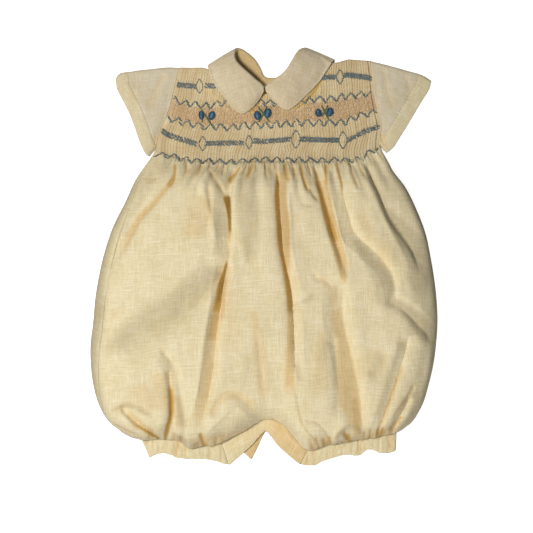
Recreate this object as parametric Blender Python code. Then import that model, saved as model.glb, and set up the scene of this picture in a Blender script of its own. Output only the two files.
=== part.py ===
"""A smocked baby romper, laid flat on its back with its front up.

Frame: +X to the right of the garment as it lies, +Y from the legs to the collar, +Z up from the surface.
The tables below are in millimetres; MM turns them into metres where each mesh is made.
The front is one panel: pleated and smocked down to the waist, then released into a full bubble that is
gathered again onto two leg bands. The back, the sleeves, the collar halves and the crotch bands are
separate pieces, with a small gap at each seam.
"""

import math

import bpy
import numpy as np

MM = 0.001

# Middle of the outline that the tables draw, which is set on the origin, in millimetres.
MIDDLE = (-0.096, 0.776, 0.0)

# Driving sizes, in millimetres.
WALL = 1.2                # thickness of one layer of cloth
SEAM = 0.3                # gap between two pieces at a seam
PLEATS = 76               # smocked pleats across the front
PLEAT_RISE = 1.5          # height of a pleat's ridge over its valley
SMOCK_START, SMOCK_END = 0.014, 0.986  # share of the bodice's width that is pleated
PLEATS_A_GATHER = 4       # pleats that run together in each gather just under the smocking
GATHER_DEPTH = 1.7
PUFF = 20.0               # how far the bubble stands up over its edges
SIDE_ROUND, WAIST_ROUND, HEM_ROUND = 48.0, 34.0, 26.0  # width of the bubble's rounding at its edges
DOME = 4.5                # crown of the smocked front
COLLAR_LIFT = 1.8         # the back collar lies under the back bodice and lifts it
HEM_LAP = 2.0             # how far the front panel laps over the bands that it is gathered onto
CENTRE_BACK = 12.2        # x of the back opening

CLEARANCE = SEAM + 0.1    # the same gap where two edges meet at an angle

# Outlines, as x and y.
ARMHOLE_LEFT = (
    (-88.5, 198), (-92.5, 181), (-96, 166), (-102, 147), (-109, 132), (-112, 120), (-112.5, 111.5),
)
ARMHOLE_RIGHT = (
    (111.3, 205), (113.4, 187), (115.4, 167.5), (118.6, 152), (121.5, 138), (120, 125), (119.5, 115),
)
FRONT_TOP = (
    (-88.5, 198), (-64, 198), (-57, 195.5), (-48, 195), (-41, 198), (-36, 195.5), (-31, 190), (-24, 183),
    (-14, 175.5), (1, 170), (15, 174.5), (26, 181), (36, 192), (43, 199), (52, 201), (66, 201.5),
    (77, 203.5), (88, 206.7), (111.3, 205),
)
BACK_TOP = (
    (-88.5, 198), (-66, 197.5), (-60, 193), (-50, 191), (-42, 195), (-36, 200), (-32, 200.5), (-24, 196.5),
    (-12, 186), (6, 179), (22, 185), (33, 195), (40, 200), (46, 199), (54, 197), (66, 197), (76, 200),
    (86, 206), (111.3, 205),
)
# columns: share across, x, y
WAIST = (
    (0.0, -112.5, 111.5), (0.03, -106, 108.5), (0.07, -97, 105), (0.106, -88, 102.5), (0.196, -67, 100),
    (0.343, -33, 99), (0.485, 0, 99), (0.692, 48, 99), (0.847, 84, 101), (0.9375, 105, 105),
    (0.97, 113, 109.5), (1.0, 119.5, 115),
)
LEFT_SIDE = (
    (-112.5, 111.5), (-118.2, 103.3), (-124.3, 94.6), (-132.5, 82.2), (-144, 57.2), (-156.4, 32.2),
    (-165, 7.3), (-171, -17.7), (-175.2, -42.6), (-177.5, -67.6), (-180.4, -95), (-180, -113),
    (-177.5, -134), (-171.5, -155), (-163.5, -169.5), (-155, -178.5),
)
RIGHT_SIDE = (
    (119.5, 115), (124.5, 107.3), (129.4, 98.8), (133.6, 90.5), (146, 73.8), (158.5, 48.9),
    (167.9, 23.9), (173.1, -1), (177.2, -26), (179.6, -50), (180.2, -66), (179, -88), (176, -112),
    (171, -134), (166, -151.5), (158.5, -167),
)
# columns: share across, x, y
HEM = (
    (0.0, -155, -178.5), (0.024, -148.5, -183.5), (0.0575, -138, -188.5), (0.0816, -130, -190.8),
    (0.1107, -120, -191.2), (0.16, -103, -190), (0.228, -80, -194), (0.295, -57, -197), (0.332, -45, -193),
    (0.389, -27, -185), (0.434, -14, -177), (0.471, -3, -170), (0.4975, 6, -169), (0.542, 20, -175),
    (0.599, 33, -190), (0.653, 47, -202), (0.693, 60, -197), (0.746, 78, -194), (0.787, 92, -192),
    (0.831, 107, -189), (0.869, 120, -187.5), (0.923, 138, -183.2), (0.968, 151.5, -175.3),
    (1.0, 158.5, -167),
)
# How the bubble's edge runs. columns: share down, height of the outermost line, left seam's inset
SIDE_EDGE = (
    (0.0, 2.0, 0.5), (0.06, 5.0, 2.2), (0.15, 9.0, 5.0), (0.3, 11.0, 10.0), (0.55, 11.5, 12.0),
    (0.75, 11.0, 11.0), (0.88, 8.5, 7.5), (0.95, 5.5, 3.5), (1.0, 2.4, 0.8),
)
LEAST_WRAP = 1.6          # below this inset the back ends at the side itself
# Height of the front panel's lower edge. columns: share across, height
HEM_HEIGHT = (
    (0.0, 2.2), (0.05, 3.4), (0.08, 6.0), (0.12, 6.4), (0.33, 6.4), (0.4, 5.2), (0.5, 5.0), (0.6, 5.2),
    (0.66, 6.4), (0.9, 6.4), (0.935, 6.0), (0.965, 3.6), (1.0, 2.5),
)

# The bubble's large folds: depth, half width, and the line of the trough.
FOLDS = {
    "left_roll": (
        4.5, 7.0,
        ((-94, 96), (-96, 84), (-105, 67), (-121, 51), (-137, 30), (-156, -10), (-162, -34)),
    ),
    "left_front": (
        8.0, 6.0,
        ((-54, 92), (-46, 70), (-37, 52), (-36, 20), (-41, -12), (-53, -65), (-61, -119), (-70, -176)),
    ),
    "centre": (
        8.5, 6.2,
        ((10, 98), (12, 70), (13, 40), (16, 8), (24, -34), (30, -80), (28, -115), (24, -142)),
    ),
    "right_front": (8.0, 5.5, ((51, 96), (55, 76), (63, 46), (74, 8), (85, -24))),
    "right_mid": (
        6.0, 6.0,
        ((76, 98), (81, 76), (84, 48), (97, 16), (116, -13), (126, -40), (128, -56)),
    ),
    "right_roll": (5.5, 7.0, ((105, 99), (109, 80), (121, 58), (136, 28), (154, -1), (163, -18))),
    "left_sag": (4.0, 11.0, ((-51, -8), (-84, -44), (-129, -70), (-162, -96))),
    "right_sag": (3.5, 9.0, ((121, -51), (145, -49), (172, -74))),
    "left_leg_crease": (3.0, 6.0, ((-113, -92), (-95, -122), (-86, -158), (-82, -176))),
    "left_leg_tuck": (6.5, 5.0, ((-97, -138), (-98, -160), (-104, -188))),
    "left_leg_end": (5.0, 5.5, ((-141, -163), (-125, -177), (-112, -188))),
    "right_leg_inner": (4.0, 6.0, ((71, -76), (72, -111), (74, -142), (79, -176))),
    "right_leg_front": (6.0, 5.5, ((88, -62), (92, -97), (100, -140), (101, -188))),
    "right_leg_long": (6.0, 5.5, ((142, -82), (131, -112), (123, -148), (115, -184))),
    "right_leg_end": (5.0, 5.0, ((158, -143), (143, -160), (129, -181))),
}

# The threads of the cloth run along these folds.
GUIDES = ("left_front", "centre", "right_front", "right_mid")

# Collar halves, one row for each section from the centre front round to the centre back.
# columns: seam x, y, z, fold x, y, z, edge x, y, z, and the way that the fall faces, in degrees over level
COLLAR_LEFT = (
    (-1.6, 171.8, 8.3, -1.4, 178.6, 12.0, -2.2, 169.5, 9.5, 90),
    (-4, 172.5, 8.3, -3.5, 181, 12.8, -5.2, 164.5, 9.5, 90),
    (-8, 174, 8.2, -7, 183.5, 13.5, -10, 158.5, 9.5, 90),
    (-13, 176.5, 8.0, -11, 187, 14.5, -17, 152, 9.5, 90),
    (-18, 180, 8.0, -15, 190.5, 15.2, -24, 150, 9.5, 90),
    (-23, 184, 7.8, -19.5, 194.5, 15.6, -33, 156, 9.5, 90),
    (-28, 189, 7.6, -24.5, 199, 15.6, -42, 168, 8.8, 90),
    (-33, 195.5, 7.2, -28.8, 204, 14.5, -50, 178, 8.2, 88),
    (-37, 200.5, 7.0, -30.5, 209.5, 12.0, -55.5, 189, 7.5, 75),
    (-39, 204, 6.6, -29.5, 215, 8.6, -58, 198, 5.6, 40),
    (-37.5, 205.5, 6.0, -26.5, 217.2, 5.4, -58, 200.5, 3.2, -5),
    (-33, 205, 5.2, -22.5, 216.5, 3.4, -55, 196, 0.8, -60),
    (-25, 200.5, 4.4, -16.5, 212.5, 2.8, -46, 181, 0.6, -90),
    (-17, 193.5, 4.1, -9.5, 206, 2.4, -33, 166, 0.6, -90),
    (-10, 186.5, 4.1, -4.2, 197.5, 2.4, -18, 156, 0.6, -90),
    (-2, 181.5, 4.1, 0, 188.8, 2.4, -6, 151.5, 0.6, -90),
    (5, 180, 4.1, 6, 187, 2.4, 4, 150.5, 0.6, -90),
    (11, 180.5, 4.1, 11.3, 187, 2.4, 11.3, 150.5, 0.6, -90),
)
COLLAR_RIGHT = (
    (2.6, 171.8, 8.3, 2.4, 178.4, 12.0, 3.6, 170.5, 9.5, 90),
    (5.6, 172.8, 8.3, 5.2, 181, 12.6, 8, 165.5, 9.5, 90),
    (9, 174, 8.2, 8, 183.5, 13.0, 12, 162, 9.5, 90),
    (14, 176, 8.0, 12, 186, 13.5, 18.5, 156, 9.5, 90),
    (19, 179, 8.0, 16, 188.2, 14.0, 26, 154, 9.5, 90),
    (24, 182.5, 7.8, 21, 192.5, 14.4, 33, 158.5, 9.5, 90),
    (29, 187, 7.6, 25.5, 198, 14.6, 41, 166, 9.0, 90),
    (34, 192.5, 7.2, 29.3, 204.5, 14.2, 50, 175, 8.6, 90),
    (39, 198.5, 7.0, 33, 211, 12.6, 58.5, 184.5, 8.0, 80),
    (44, 203.5, 6.6, 37, 216, 9.4, 67, 197.5, 7.0, 50),
    (48, 206.5, 6.2, 41.5, 217.4, 6.0, 73, 206, 4.2, 8),
    (46, 207, 5.2, 41.5, 216, 3.4, 72, 201, 0.9, -60),
    (40, 203.5, 4.4, 37, 211.5, 2.8, 63, 184, 0.6, -90),
    (33, 197.5, 4.1, 32, 204.5, 2.4, 51, 168, 0.6, -90),
    (26, 190.5, 4.1, 26, 196.5, 2.4, 37, 156.5, 0.6, -90),
    (19, 184.5, 4.1, 19.8, 189.5, 2.4, 23, 151, 0.6, -90),
    (13.2, 181.5, 4.1, 13.6, 186, 2.4, 13.2, 150.5, 0.6, -90),
)
FOLD_RADIUS = 1.65        # of the collar's turn, at the middle of its wall
FALL_CROWN = 1.6          # how far the fall bows out between fold and edge

SLEEVE_LEFT_TOP = (
    (-89, 198), (-97, 198.6), (-117, 197), (-137.3, 194.5), (-152.9, 190.3), (-155, 186.5),
)
SLEEVE_LEFT_HEM = (
    (-155, 186.5), (-154, 178), (-147.5, 164), (-140.4, 150), (-134, 133), (-129, 119), (-122.7, 107.5),
    (-119.8, 105.2),
)
SLEEVE_RIGHT_TOP = (
    (112, 205), (121, 202.8), (134, 199.5), (148, 195.5), (167.4, 189.3), (174.7, 184.6),
)
SLEEVE_RIGHT_HEM = (
    (174.7, 184.6), (172.6, 177), (164, 162.5), (156, 149), (147.7, 135), (141, 124.5), (135.2, 115.4),
    (127.6, 108.8),
)
SLEEVE_PUFF = 2.6         # how far the sleeve stands up between its folds
CROTCH_FRONT_LOWER = (
    (-36.5, -217), (-26, -208), (-12.5, -196), (-1, -183.5), (2, -181.5), (5, -184), (14, -196),
    (26, -207), (37.5, -216.5),
)
CROTCH_BACK_LOWER = (
    (-17, -216.5), (-11.5, -208), (-6.5, -198), (-1, -186.5), (2, -182.2), (6, -186), (14, -196),
    (25, -205), (35, -213),
)
LEG_LEFT_LOWER = (
    (-120, -210), (-113, -206), (-104, -205), (-92, -209), (-72, -211), (-55, -212), (-45, -215),
    (-38.5, -217),
)
LEG_RIGHT_LOWER = (
    (39.5, -216.5), (53, -217), (62, -213), (71, -210), (83, -206.5), (100, -206.5), (108, -201),
    (124, -205), (138, -202),
)
LEG_BAND_HEIGHT = 4.2     # middle of the leg band's upper layer
BAND_RIPPLE = 0.8         # height of the gathers across it
CROTCH_HEIGHT = 3.4       # middle of the front crotch band

# The back of the bubble.
BACK_TURN = np.radians([0, 22, 45, 68, 90])  # its rounding up to the sides
BACK_FLAT = np.array([0.8, 0.66, 0.6, 0.545, 0.5, 0.44, 0.35, 0.2])  # columns where it rests
BACK_WRAP = np.array([0.12, 0.4, 0.72, 1.0])  # steps over the left side to the seam
BACK_END = 0.9918         # share down of its lower edge, before it follows the bands

# Rows and columns that neighbouring pieces share, so that their edges run side by side.
ARMHOLE_ROWS = (0.0, 0.16, 0.33, 0.5, 0.67, 0.84, 0.97)
SIDE_ROWS = (
    0.025, 0.055, 0.09, 0.13, 0.175, 0.225, 0.275, 0.33, 0.385, 0.44, 0.495, 0.55, 0.605, 0.66,
    0.715, 0.77, 0.82, 0.865, 0.905, 0.94, 0.97,
)
HEM_ROWS = (0.988, 1.0)
SMOCK_WIDTH = SMOCK_END - SMOCK_START
PLEAT_COLUMNS = np.array([0.0, *(SMOCK_START + (np.arange(PLEATS) + 0.5) * SMOCK_WIDTH / PLEATS), 1.0])
BACK_SHARE = (CENTRE_BACK - BACK_TOP[0][0]) / (BACK_TOP[-1][0] - BACK_TOP[0][0])
BACK_LEFT_COLUMNS = np.linspace(0, BACK_SHARE - 0.0008, 7)
BACK_RIGHT_COLUMNS = np.linspace(BACK_SHARE + 0.0008, 1, 7)
LEG_LEFT_COLUMNS = np.linspace(0.088, 0.3345, 12)
CROTCH_COLUMNS = np.linspace(0.3361, 0.6494, 15)
LEG_RIGHT_COLUMNS = np.linspace(0.651, 0.923, 12)


# ---------------------------------------------------------------- curves and patches


def smooth(stations, values, at):
    """Values at the places `at`, read from a smooth curve through the stations."""
    s, p = np.asarray(stations, float), np.asarray(values, float)
    p = p.reshape(len(s), -1)
    step = np.diff(s)[:, None]
    slope = np.diff(p, axis=0) / step
    between = (slope[:-1] * step[1:] + slope[1:] * step[:-1]) / (step[:-1] + step[1:])
    tangent = np.vstack([slope[:1], between, slope[-1:]])
    at = np.clip(np.asarray(at, float), s[0], s[-1])
    i = np.clip(np.searchsorted(s, at, side="right") - 1, 0, len(s) - 2)
    w = (s[i + 1] - s[i])[..., None]
    t = (at - s[i])[..., None] / w
    from_start = (1 + 2 * t) * (1 - t) ** 2 * p[i] + t * (1 - t) ** 2 * w * tangent[i]
    from_end = t * t * (3 - 2 * t) * p[i + 1] + t * t * (t - 1) * w * tangent[i + 1]
    return from_start + from_end


def along(points, at):
    """Points at shares `at` of the length of a smooth line through `points`."""
    p = np.asarray(points, float)
    chords = np.linalg.norm(np.diff(p, axis=0), axis=1)
    return smooth(np.concatenate([[0], np.cumsum(chords)]) / chords.sum(), p, at)


def column(table, at):
    """A table whose first column is the share across or down, read smoothly at `at`."""
    rows = np.asarray(table, float)
    return smooth(rows[:, 0], rows[:, 1:], at)


def by_x(points, share):
    """The outline `points`, read at equal steps of x by straight lines."""
    p = np.asarray(points, float)
    x = p[0, 0] + (p[-1, 0] - p[0, 0]) * np.asarray(share, float)
    return np.stack([x, np.interp(x, p[:, 0], p[:, 1])], -1)


def patch(top, bottom, left, right, u, v):
    """A Coons patch between four outlines: u runs from left to right, v from top to bottom."""
    u, v = np.broadcast_arrays(np.asarray(u, float), np.asarray(v, float))
    a, b = u[..., None], v[..., None]
    zero, one = np.zeros(1), np.ones(1)
    upper_corners = (1 - b) * ((1 - a) * top(zero) + a * top(one))
    lower_corners = b * ((1 - a) * bottom(zero) + a * bottom(one))
    edges = (1 - b) * top(u) + b * bottom(u) + (1 - a) * left(v) + a * right(v)
    return edges - upper_corners - lower_corners


def bodice_xy(u, v, top=FRONT_TOP):
    return patch(
        lambda s: by_x(top, s), lambda s: column(WAIST, s),
        lambda s: along(ARMHOLE_LEFT, s), lambda s: along(ARMHOLE_RIGHT, s), u, v,
    )


def bubble_xy(u, v):
    return patch(
        lambda s: column(WAIST, s), lambda s: column(HEM, s),
        lambda s: along(LEFT_SIDE, s), lambda s: along(RIGHT_SIDE, s), u, v,
    )


def located(points):
    """Shares across and down at which the bubble's patch passes through the points."""
    grid = bubble_xy(ROW_AT[None, :], ROW_AT[:, None])
    shares = []
    for point in points:
        row, place = np.unravel_index(np.linalg.norm(grid - point, axis=2).argmin(), grid.shape[:2])
        at = np.array([ROW_AT[place], ROW_AT[row]])
        for _ in range(4):
            here, right, below = bubble_xy(at[0] + [0, 1e-4, 0], at[1] + [0, 0, 1e-4])
            slopes = np.column_stack([right - here, below - here]) / 1e-4
            at = np.clip(at + np.linalg.solve(slopes, point - here), 0, 0.999)
        shares.append(at)
    return np.array(shares)


def guide_knots(v):
    """Shares across of the guiding folds at share v down, from side to side."""
    return [np.zeros(np.shape(v)), *(np.interp(v, g[:, 1], g[:, 0]) for g in GUIDE_AT), np.ones(np.shape(v))]


def threads(share, v, back=False):
    """Share across at which a thread lies at share v down; `back` gives the thread from the share."""
    start, end = guide_knots(np.zeros(np.shape(v))), guide_knots(v)
    if back:
        start, end = end, start
    moved = np.array(share, float)
    for a, b, c, d in zip(start, start[1:], end, end[1:]):
        inside = (share >= a) & (share <= b)
        moved = np.where(inside, c + (d - c) * (share - a) / (b - a), moved)
    return moved


# ---------------------------------------------------------------- heights


def eased(x):
    x = np.clip(x, 0, 1)
    return x * x * (3 - 2 * x)


def rounding(distance, width, power=0.5):
    """From 0 at the edge to 1 from `width` inwards: a quarter round at the power 0.5, and softer above it."""
    q = 1 - np.clip(distance / width, 0, 1)
    return np.maximum(0, 1 - q * q) ** power


def collar_lift(x, y):
    reach = np.hypot((x - 8) / 72, (y - 205) / 62)
    return COLLAR_LIFT * (1 - eased((reach - 0.95) / 0.3))


def bodice_base(x, y):
    """Underside of the smocked front."""
    across = np.cos(np.clip((x - 3) / 122, -1, 1) * math.pi / 2)
    down = np.clip((200 - y) / 100, 0, 1)
    return WALL + SEAM + collar_lift(x, y) + DOME * np.maximum(across, 0) ** 0.8 * (0.25 + 0.75 * down)


def fold_depth(x, y):
    """How deep the large folds are at each point."""
    depth = np.zeros(np.shape(x))
    for deep, half_width, line in FOLDS.values():
        share = np.linspace(0, 1, 40)
        path = along(line, share)
        away = np.hypot(np.asarray(x)[..., None] - path[:, 0], np.asarray(y)[..., None] - path[:, 1])
        nearest = away.argmin(-1)
        taper = eased(share / 0.12) * eased((1 - share) / 0.22)
        q = away.min(-1) / half_width
        depth = np.maximum(depth, deep * taper[nearest] / (1 + q * q) ** 2)
    return depth


ROW_AT = np.linspace(0, 1, 61)
PLAN = bubble_xy(ROW_AT[None, :], ROW_AT[:, None])
ROW_LENGTH = np.linalg.norm(np.diff(PLAN, axis=1), axis=2).sum(1)
COLUMN_LENGTH = np.linalg.norm(np.diff(PLAN, axis=0), axis=2).sum(0)
GUIDE_AT = [located(FOLDS[name][2]) for name in GUIDES]


def row_length(v):
    return np.interp(v, ROW_AT, ROW_LENGTH)


def column_length(u):
    return np.interp(u, ROW_AT, COLUMN_LENGTH)


def pleat_at(share):
    """Number of the pleat at a share across, counted from the left; a pleat's ridge is at its half."""
    return (share - SMOCK_START) / SMOCK_WIDTH * PLEATS


def bubble(u, v):
    """Middle of the front wall of the bubble, out to its outermost line at u = 0 and u = 1."""
    u, v = np.broadcast_arrays(np.asarray(u, float), np.asarray(v, float))
    xy = bubble_xy(u, v)
    side = column(SIDE_EDGE, v)[..., 0]
    waist = bodice_base(*np.moveaxis(column(WAIST, u), -1, 0)) + WALL / 2
    hem = column(HEM_HEIGHT, u)[..., 0]
    edges = side + (1 - v) * (waist - SIDE_EDGE[0][1]) + v * (hem - SIDE_EDGE[-1][1])
    to_side = np.minimum(u, 1 - u) * row_length(v)
    to_waist, to_hem = v * column_length(u), (1 - v) * column_length(u)
    inside = rounding(to_side, SIDE_ROUND)
    full = inside * rounding(to_waist, WAIST_ROUND, 1.0) * rounding(to_hem, HEM_ROUND, 0.75)
    edges = side + (edges - side) * inside
    across = (pleat_at(threads(u, v, back=True)) - 0.5) / PLEATS_A_GATHER
    gather = GATHER_DEPTH * np.cos(2 * math.pi * across) * eased(to_side / 12)
    gather = gather * eased(to_waist / 16) * (1 - eased((to_waist - 16) / 38))
    z = edges + PUFF * full + gather - fold_depth(xy[..., 0], xy[..., 1]) * full ** 0.8
    return np.concatenate([xy, z[..., None]], -1)


def bubble_normal(u, v):
    """Outward normal of the bubble's front, from small steps that stay on it."""
    small = 2e-3
    u, v = np.broadcast_arrays(np.asarray(u, float), np.asarray(v, float))
    u0, u1 = np.clip(u - small, 0, 1), np.clip(u + small, 0, 1)
    v0, v1 = np.clip(v - small, 0, 1), np.clip(v + small, 0, 1)
    n = np.cross(bubble(u, v1) - bubble(u, v0), bubble(u1, v) - bubble(u0, v))
    return n / np.linalg.norm(n, axis=-1, keepdims=True)


# ---------------------------------------------------------------- meshes


def object_of(name, points, faces, colour, wall=None):
    mesh = bpy.data.meshes.new(name)
    mesh.from_pydata([tuple(p) for p in (np.asarray(points, float) - MIDDLE) * MM], [], faces)
    mesh.shade_smooth()
    piece = bpy.data.objects.new(name, mesh)
    piece.parent = ROMPER
    bpy.context.scene.collection.objects.link(piece)
    piece.data.materials.append(material(*colour))
    if wall:
        thick = piece.modifiers.new("Wall", "SOLIDIFY")
        thick.thickness = wall * MM
        thick.offset = 0
        thick.use_quality_normals = True
    return piece


def material(name, colour, roughness):
    found = bpy.data.materials.get(name)
    if found:
        return found
    made = bpy.data.materials.new(name)
    made.use_nodes = True
    shader = made.node_tree.nodes["Principled BSDF"]
    shader.inputs["Base Color"].default_value = (*colour, 1)
    shader.inputs["Roughness"].default_value = roughness
    shader.inputs["Metallic"].default_value = 0
    return made


LINEN = ("linen", (0.82, 0.68, 0.42), 0.85)
SMOCKED_LINEN = ("smocked_linen", (0.78, 0.60, 0.36), 0.85)


def grid_faces(rows, columns, closed=False):
    """Quads of a grid of points that runs row by row; `closed` joins the last column to the first."""
    faces = []
    for r in range(rows - 1):
        for c in range(columns if closed else columns - 1):
            d = (c + 1) % columns
            a, b = r * columns, (r + 1) * columns
            faces.append((a + c, b + c, b + d, a + d))
    return faces


def zipped(one, two):
    """Triangles between two lines of points that may differ in number; each line is (index, share along)."""
    faces, i, j = [], 0, 0
    while i < len(one) - 1 or j < len(two) - 1:
        step_one = j == len(two) - 1
        if i < len(one) - 1 and not step_one:
            step_one = one[i][1] + one[i + 1][1] <= two[j][1] + two[j + 1][1]
        if step_one:
            faces.append((one[i][0], two[j][0], one[i + 1][0]))
            i += 1
        else:
            faces.append((one[i][0], two[j][0], two[j + 1][0]))
            j += 1
    return faces


def lengths(points):
    """Share of a line's length at each of its points."""
    far = np.concatenate([[0], np.cumsum(np.linalg.norm(np.diff(points, axis=0), axis=1))])
    return far / far[-1]


def numbered(rows, first):
    """Each row, given as (shares, points), as (index, share) pairs."""
    made = []
    for shares, _ in rows:
        made.append([(first + k, s) for k, s in enumerate(shares)])
        first += len(shares)
    return made, first


def wall_between(outer, inner):
    """A closed wall between two stacks of rows, whose rows may differ in number of points."""
    out, following = numbered(outer, 0)
    inn, _ = numbered(inner, following)
    faces = []
    for a, b in zip(out, out[1:]):
        faces += zipped(a, b)
    for a, b in zip(inn, inn[1:]):
        faces += [f[::-1] for f in zipped(a, b)]
    faces += zipped(inn[0], out[0])
    faces += zipped(out[-1], inn[-1])
    down = np.linspace(0, 1, len(out))
    for end in (0, -1):
        edges = [[(row[end][0], s) for row, s in zip(stack, down)] for stack in (out, inn)]
        faces += zipped(*edges) if end == 0 else zipped(*edges[::-1])
    return np.concatenate([points for _, points in [*outer, *inner]]), faces


# ---------------------------------------------------------------- the pieces


def smocked_rows():
    """Outer and inner rows of the bodice front, from the shoulders down to the last row of smocking."""
    ridges_and_valleys = np.linspace(SMOCK_START, SMOCK_END, 2 * PLEATS + 1)
    across = np.concatenate([[0.0], ridges_and_valleys, [1.0]])
    raised = np.concatenate([[0.0], np.arange(2 * PLEATS + 1) % 2, [0.0]])
    outer, inner = [], []
    for down in ARMHOLE_ROWS:
        xy = bodice_xy(across, np.full_like(across, down))
        height = PLEAT_RISE * (0.7 if down == 0 else 1.0)
        outer.append((across, np.column_stack([xy, bodice_base(*xy.T) + WALL + height * raised])))
        plain = PLEAT_COLUMNS if down in (0.0, ARMHOLE_ROWS[-1]) else PLEAT_COLUMNS[::2]
        xy = bodice_xy(plain, np.full_like(plain, down))
        inner.append((plain, np.column_stack([xy, bodice_base(*xy.T)])))
    return outer, inner


def bubble_rows():
    """Outer and inner rows of the bubble's front, from the waist down to the hem."""
    outer, inner = [], []
    edge_steps = np.array([1 - 3.0 / 340, 1 - 1.2 / 340])
    for down in (*SIDE_ROWS, *HEM_ROWS):
        inset = float(column(SIDE_EDGE, down)[1]) + SEAM / 2
        start = inset / float(row_length(down))
        share = start + (1 - start) * np.sort(np.concatenate([PLEAT_COLUMNS, edge_steps]))
        v = np.full_like(share, down)
        u = threads(share, v)
        u[0] = start
        middle, normal = bubble(u, v), bubble_normal(u, v)
        middle[-1, 2] += SEAM / 2
        outer.append((share, middle + normal * WALL / 2))
        inner.append((share, middle - normal * WALL / 2))
    return outer, inner


def front_panel():
    smock_out, smock_in = smocked_rows()
    full_out, full_in = bubble_rows()
    points, faces = wall_between(smock_out + full_out, smock_in + full_in)
    return object_of("front_panel", points, faces, SMOCKED_LINEN)


def above_bands(u):
    """Share down at which the back ends: just above the bands."""
    return band_top(u) - CLEARANCE / column_length(u)


def back_row(down, columns):
    """Middle and outward normals of one row of the back: round the right side, under, and over the left."""
    length = float(row_length(down))
    high, inset = column(SIDE_EDGE, down)
    bulge = (high - WALL / 2) * 0.95 * (1 - np.cos(BACK_TURN)) / length
    side_z = high - (high - WALL / 2) * np.sin(BACK_TURN)
    flat = columns[(columns > bulge[-1] * 1.2) & (columns < 1 - bulge[-1] * 1.2)]
    u = np.concatenate([1 - bulge, flat, bulge[::-1]])
    v = above_bands(u) if down == BACK_END else np.full_like(u, down)
    z = np.concatenate([side_z, np.full(len(flat), WALL / 2), side_z[::-1]])
    middle = np.column_stack([bubble_xy(u, v), z])
    middle[0, 2] -= SEAM / 2
    sideways = bubble_xy(np.minimum(u + 1e-3, 1), v) - bubble_xy(np.maximum(u - 1e-3, 0), v)
    sideways /= np.linalg.norm(sideways, axis=1, keepdims=True)
    outward = np.concatenate([np.cos(BACK_TURN), np.zeros(len(flat)), -np.cos(BACK_TURN[::-1])])
    downward = np.concatenate([-np.sin(BACK_TURN), -np.ones(len(flat)), -np.sin(BACK_TURN[::-1])])
    normals = np.column_stack([sideways * outward[:, None], downward])
    if inset > LEAST_WRAP:
        over_u = (inset - SEAM / 2) * BACK_WRAP / length
        over_v = above_bands(over_u) if down == BACK_END else np.full_like(over_u, down)
        middle = np.vstack([middle, bubble(over_u, over_v)])
        normals = np.vstack([normals, bubble_normal(over_u, over_v)])
    return middle, normals


def back_body():
    """The back of the bubble: flat where it rests, round at the sides, and over the left side to its seam."""
    bodice = np.concatenate([BACK_LEFT_COLUMNS[1:], BACK_RIGHT_COLUMNS[1:-1]])[::-1]
    bands = np.concatenate([LEG_LEFT_COLUMNS, CROTCH_COLUMNS, LEG_RIGHT_COLUMNS])[::-1]
    columns = {0.0: bodice, BACK_END: bands}
    rows_out, rows_in = [], []
    for down in (0.0, *SIDE_ROWS, BACK_END):
        middle, normals = back_row(down, columns.get(down, BACK_FLAT))
        shares = lengths(middle)
        rows_out.append((shares, middle + normals * WALL / 2))
        rows_in.append((shares, middle - normals * WALL / 2))
    points, faces = wall_between(rows_out, rows_in)
    return object_of("back_body", points, faces, LINEN)


def back_bodice(name, columns):
    """One half of the back bodice, between two shares of its width."""
    points = []
    for down in (*ARMHOLE_ROWS, 1.0):
        xy = bodice_xy(columns, np.full_like(columns, down), BACK_TOP)
        xy[:, 1] += CLEARANCE * eased((down - 0.9) / 0.1)
        points.append(np.column_stack([xy, WALL / 2 + collar_lift(*xy.T)]))
    return object_of(name, np.vstack(points), grid_faces(len(points), len(columns)), LINEN, WALL)


def flat_tube(name, near, far, start, end, over, crown, stations, rings=7, ripple=0.0):
    """A tube of cloth pressed flat: it lies on the surface below and stands up a little above.

    near and far are the outlines of its two open ends, start and end the outlines of its folded sides,
    `over` its upper layer's height at the folds at each ring, `crown` its extra height between them,
    and `ripple` the height of its gathers.
    """
    turn = np.radians([-90, -45, 0, 45, 90])
    points = []
    for t in np.linspace(0, 1, rings):
        top = over(t)
        radius = (top - WALL / 2) / 2
        line = patch(near, far, start, end, np.linspace(0, 1, 41), np.full(41, t))
        span = np.linalg.norm(np.diff(line, axis=0), axis=1).sum()
        inset = min(0.4, (radius + WALL / 2) / span)
        fold = inset - radius / span * np.cos(turn)
        flat = np.clip(stations, inset * 1.3, 1 - inset * 1.3)
        u = np.concatenate([fold, flat, 1 - fold[::-1], flat[::-1]])
        fold_z = WALL / 2 + radius * (1 + np.sin(turn))
        arch = top + crown(t) * np.sin(math.pi * flat) ** 0.7 + ripple * (np.arange(len(flat)) % 2 - 0.5)
        z = np.concatenate([fold_z, arch, fold_z[::-1], np.full(len(flat), WALL / 2)])
        points.append(np.column_stack([patch(near, far, start, end, u, np.full_like(u, t)), z]))
    ring = len(points[0])
    return object_of(name, np.vstack(points), grid_faces(rings, ring, closed=True), LINEN, WALL)


def sleeve(name, armhole, top, hem, side):
    """A short set-in sleeve; `side` is -1 on the left and 1 on the right."""
    last = ARMHOLE_ROWS[-1]

    def near(s):
        return along(armhole, last * np.asarray(s, float)) + (CLEARANCE * side, 0.0)

    def puff(t):
        return 0.2 + SLEEVE_PUFF * math.sin(math.pi * min(1, 0.15 + 0.75 * t))

    first_end, last_end = near(np.array([0.0, 1.0]))
    return flat_tube(
        name, near, lambda s: along(hem, s),
        lambda s: along([first_end, *top[1:]], s), lambda s: along([last_end, hem[-1]], s),
        lambda t: 2.2 + 0.5 * t, puff, np.array(ARMHOLE_ROWS[1:-1]) / last,
    )


def band_top(u):
    """Share down at which the bands start: just under the front panel's lower edge."""
    return 1 - HEM_LAP / column_length(u)


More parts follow.
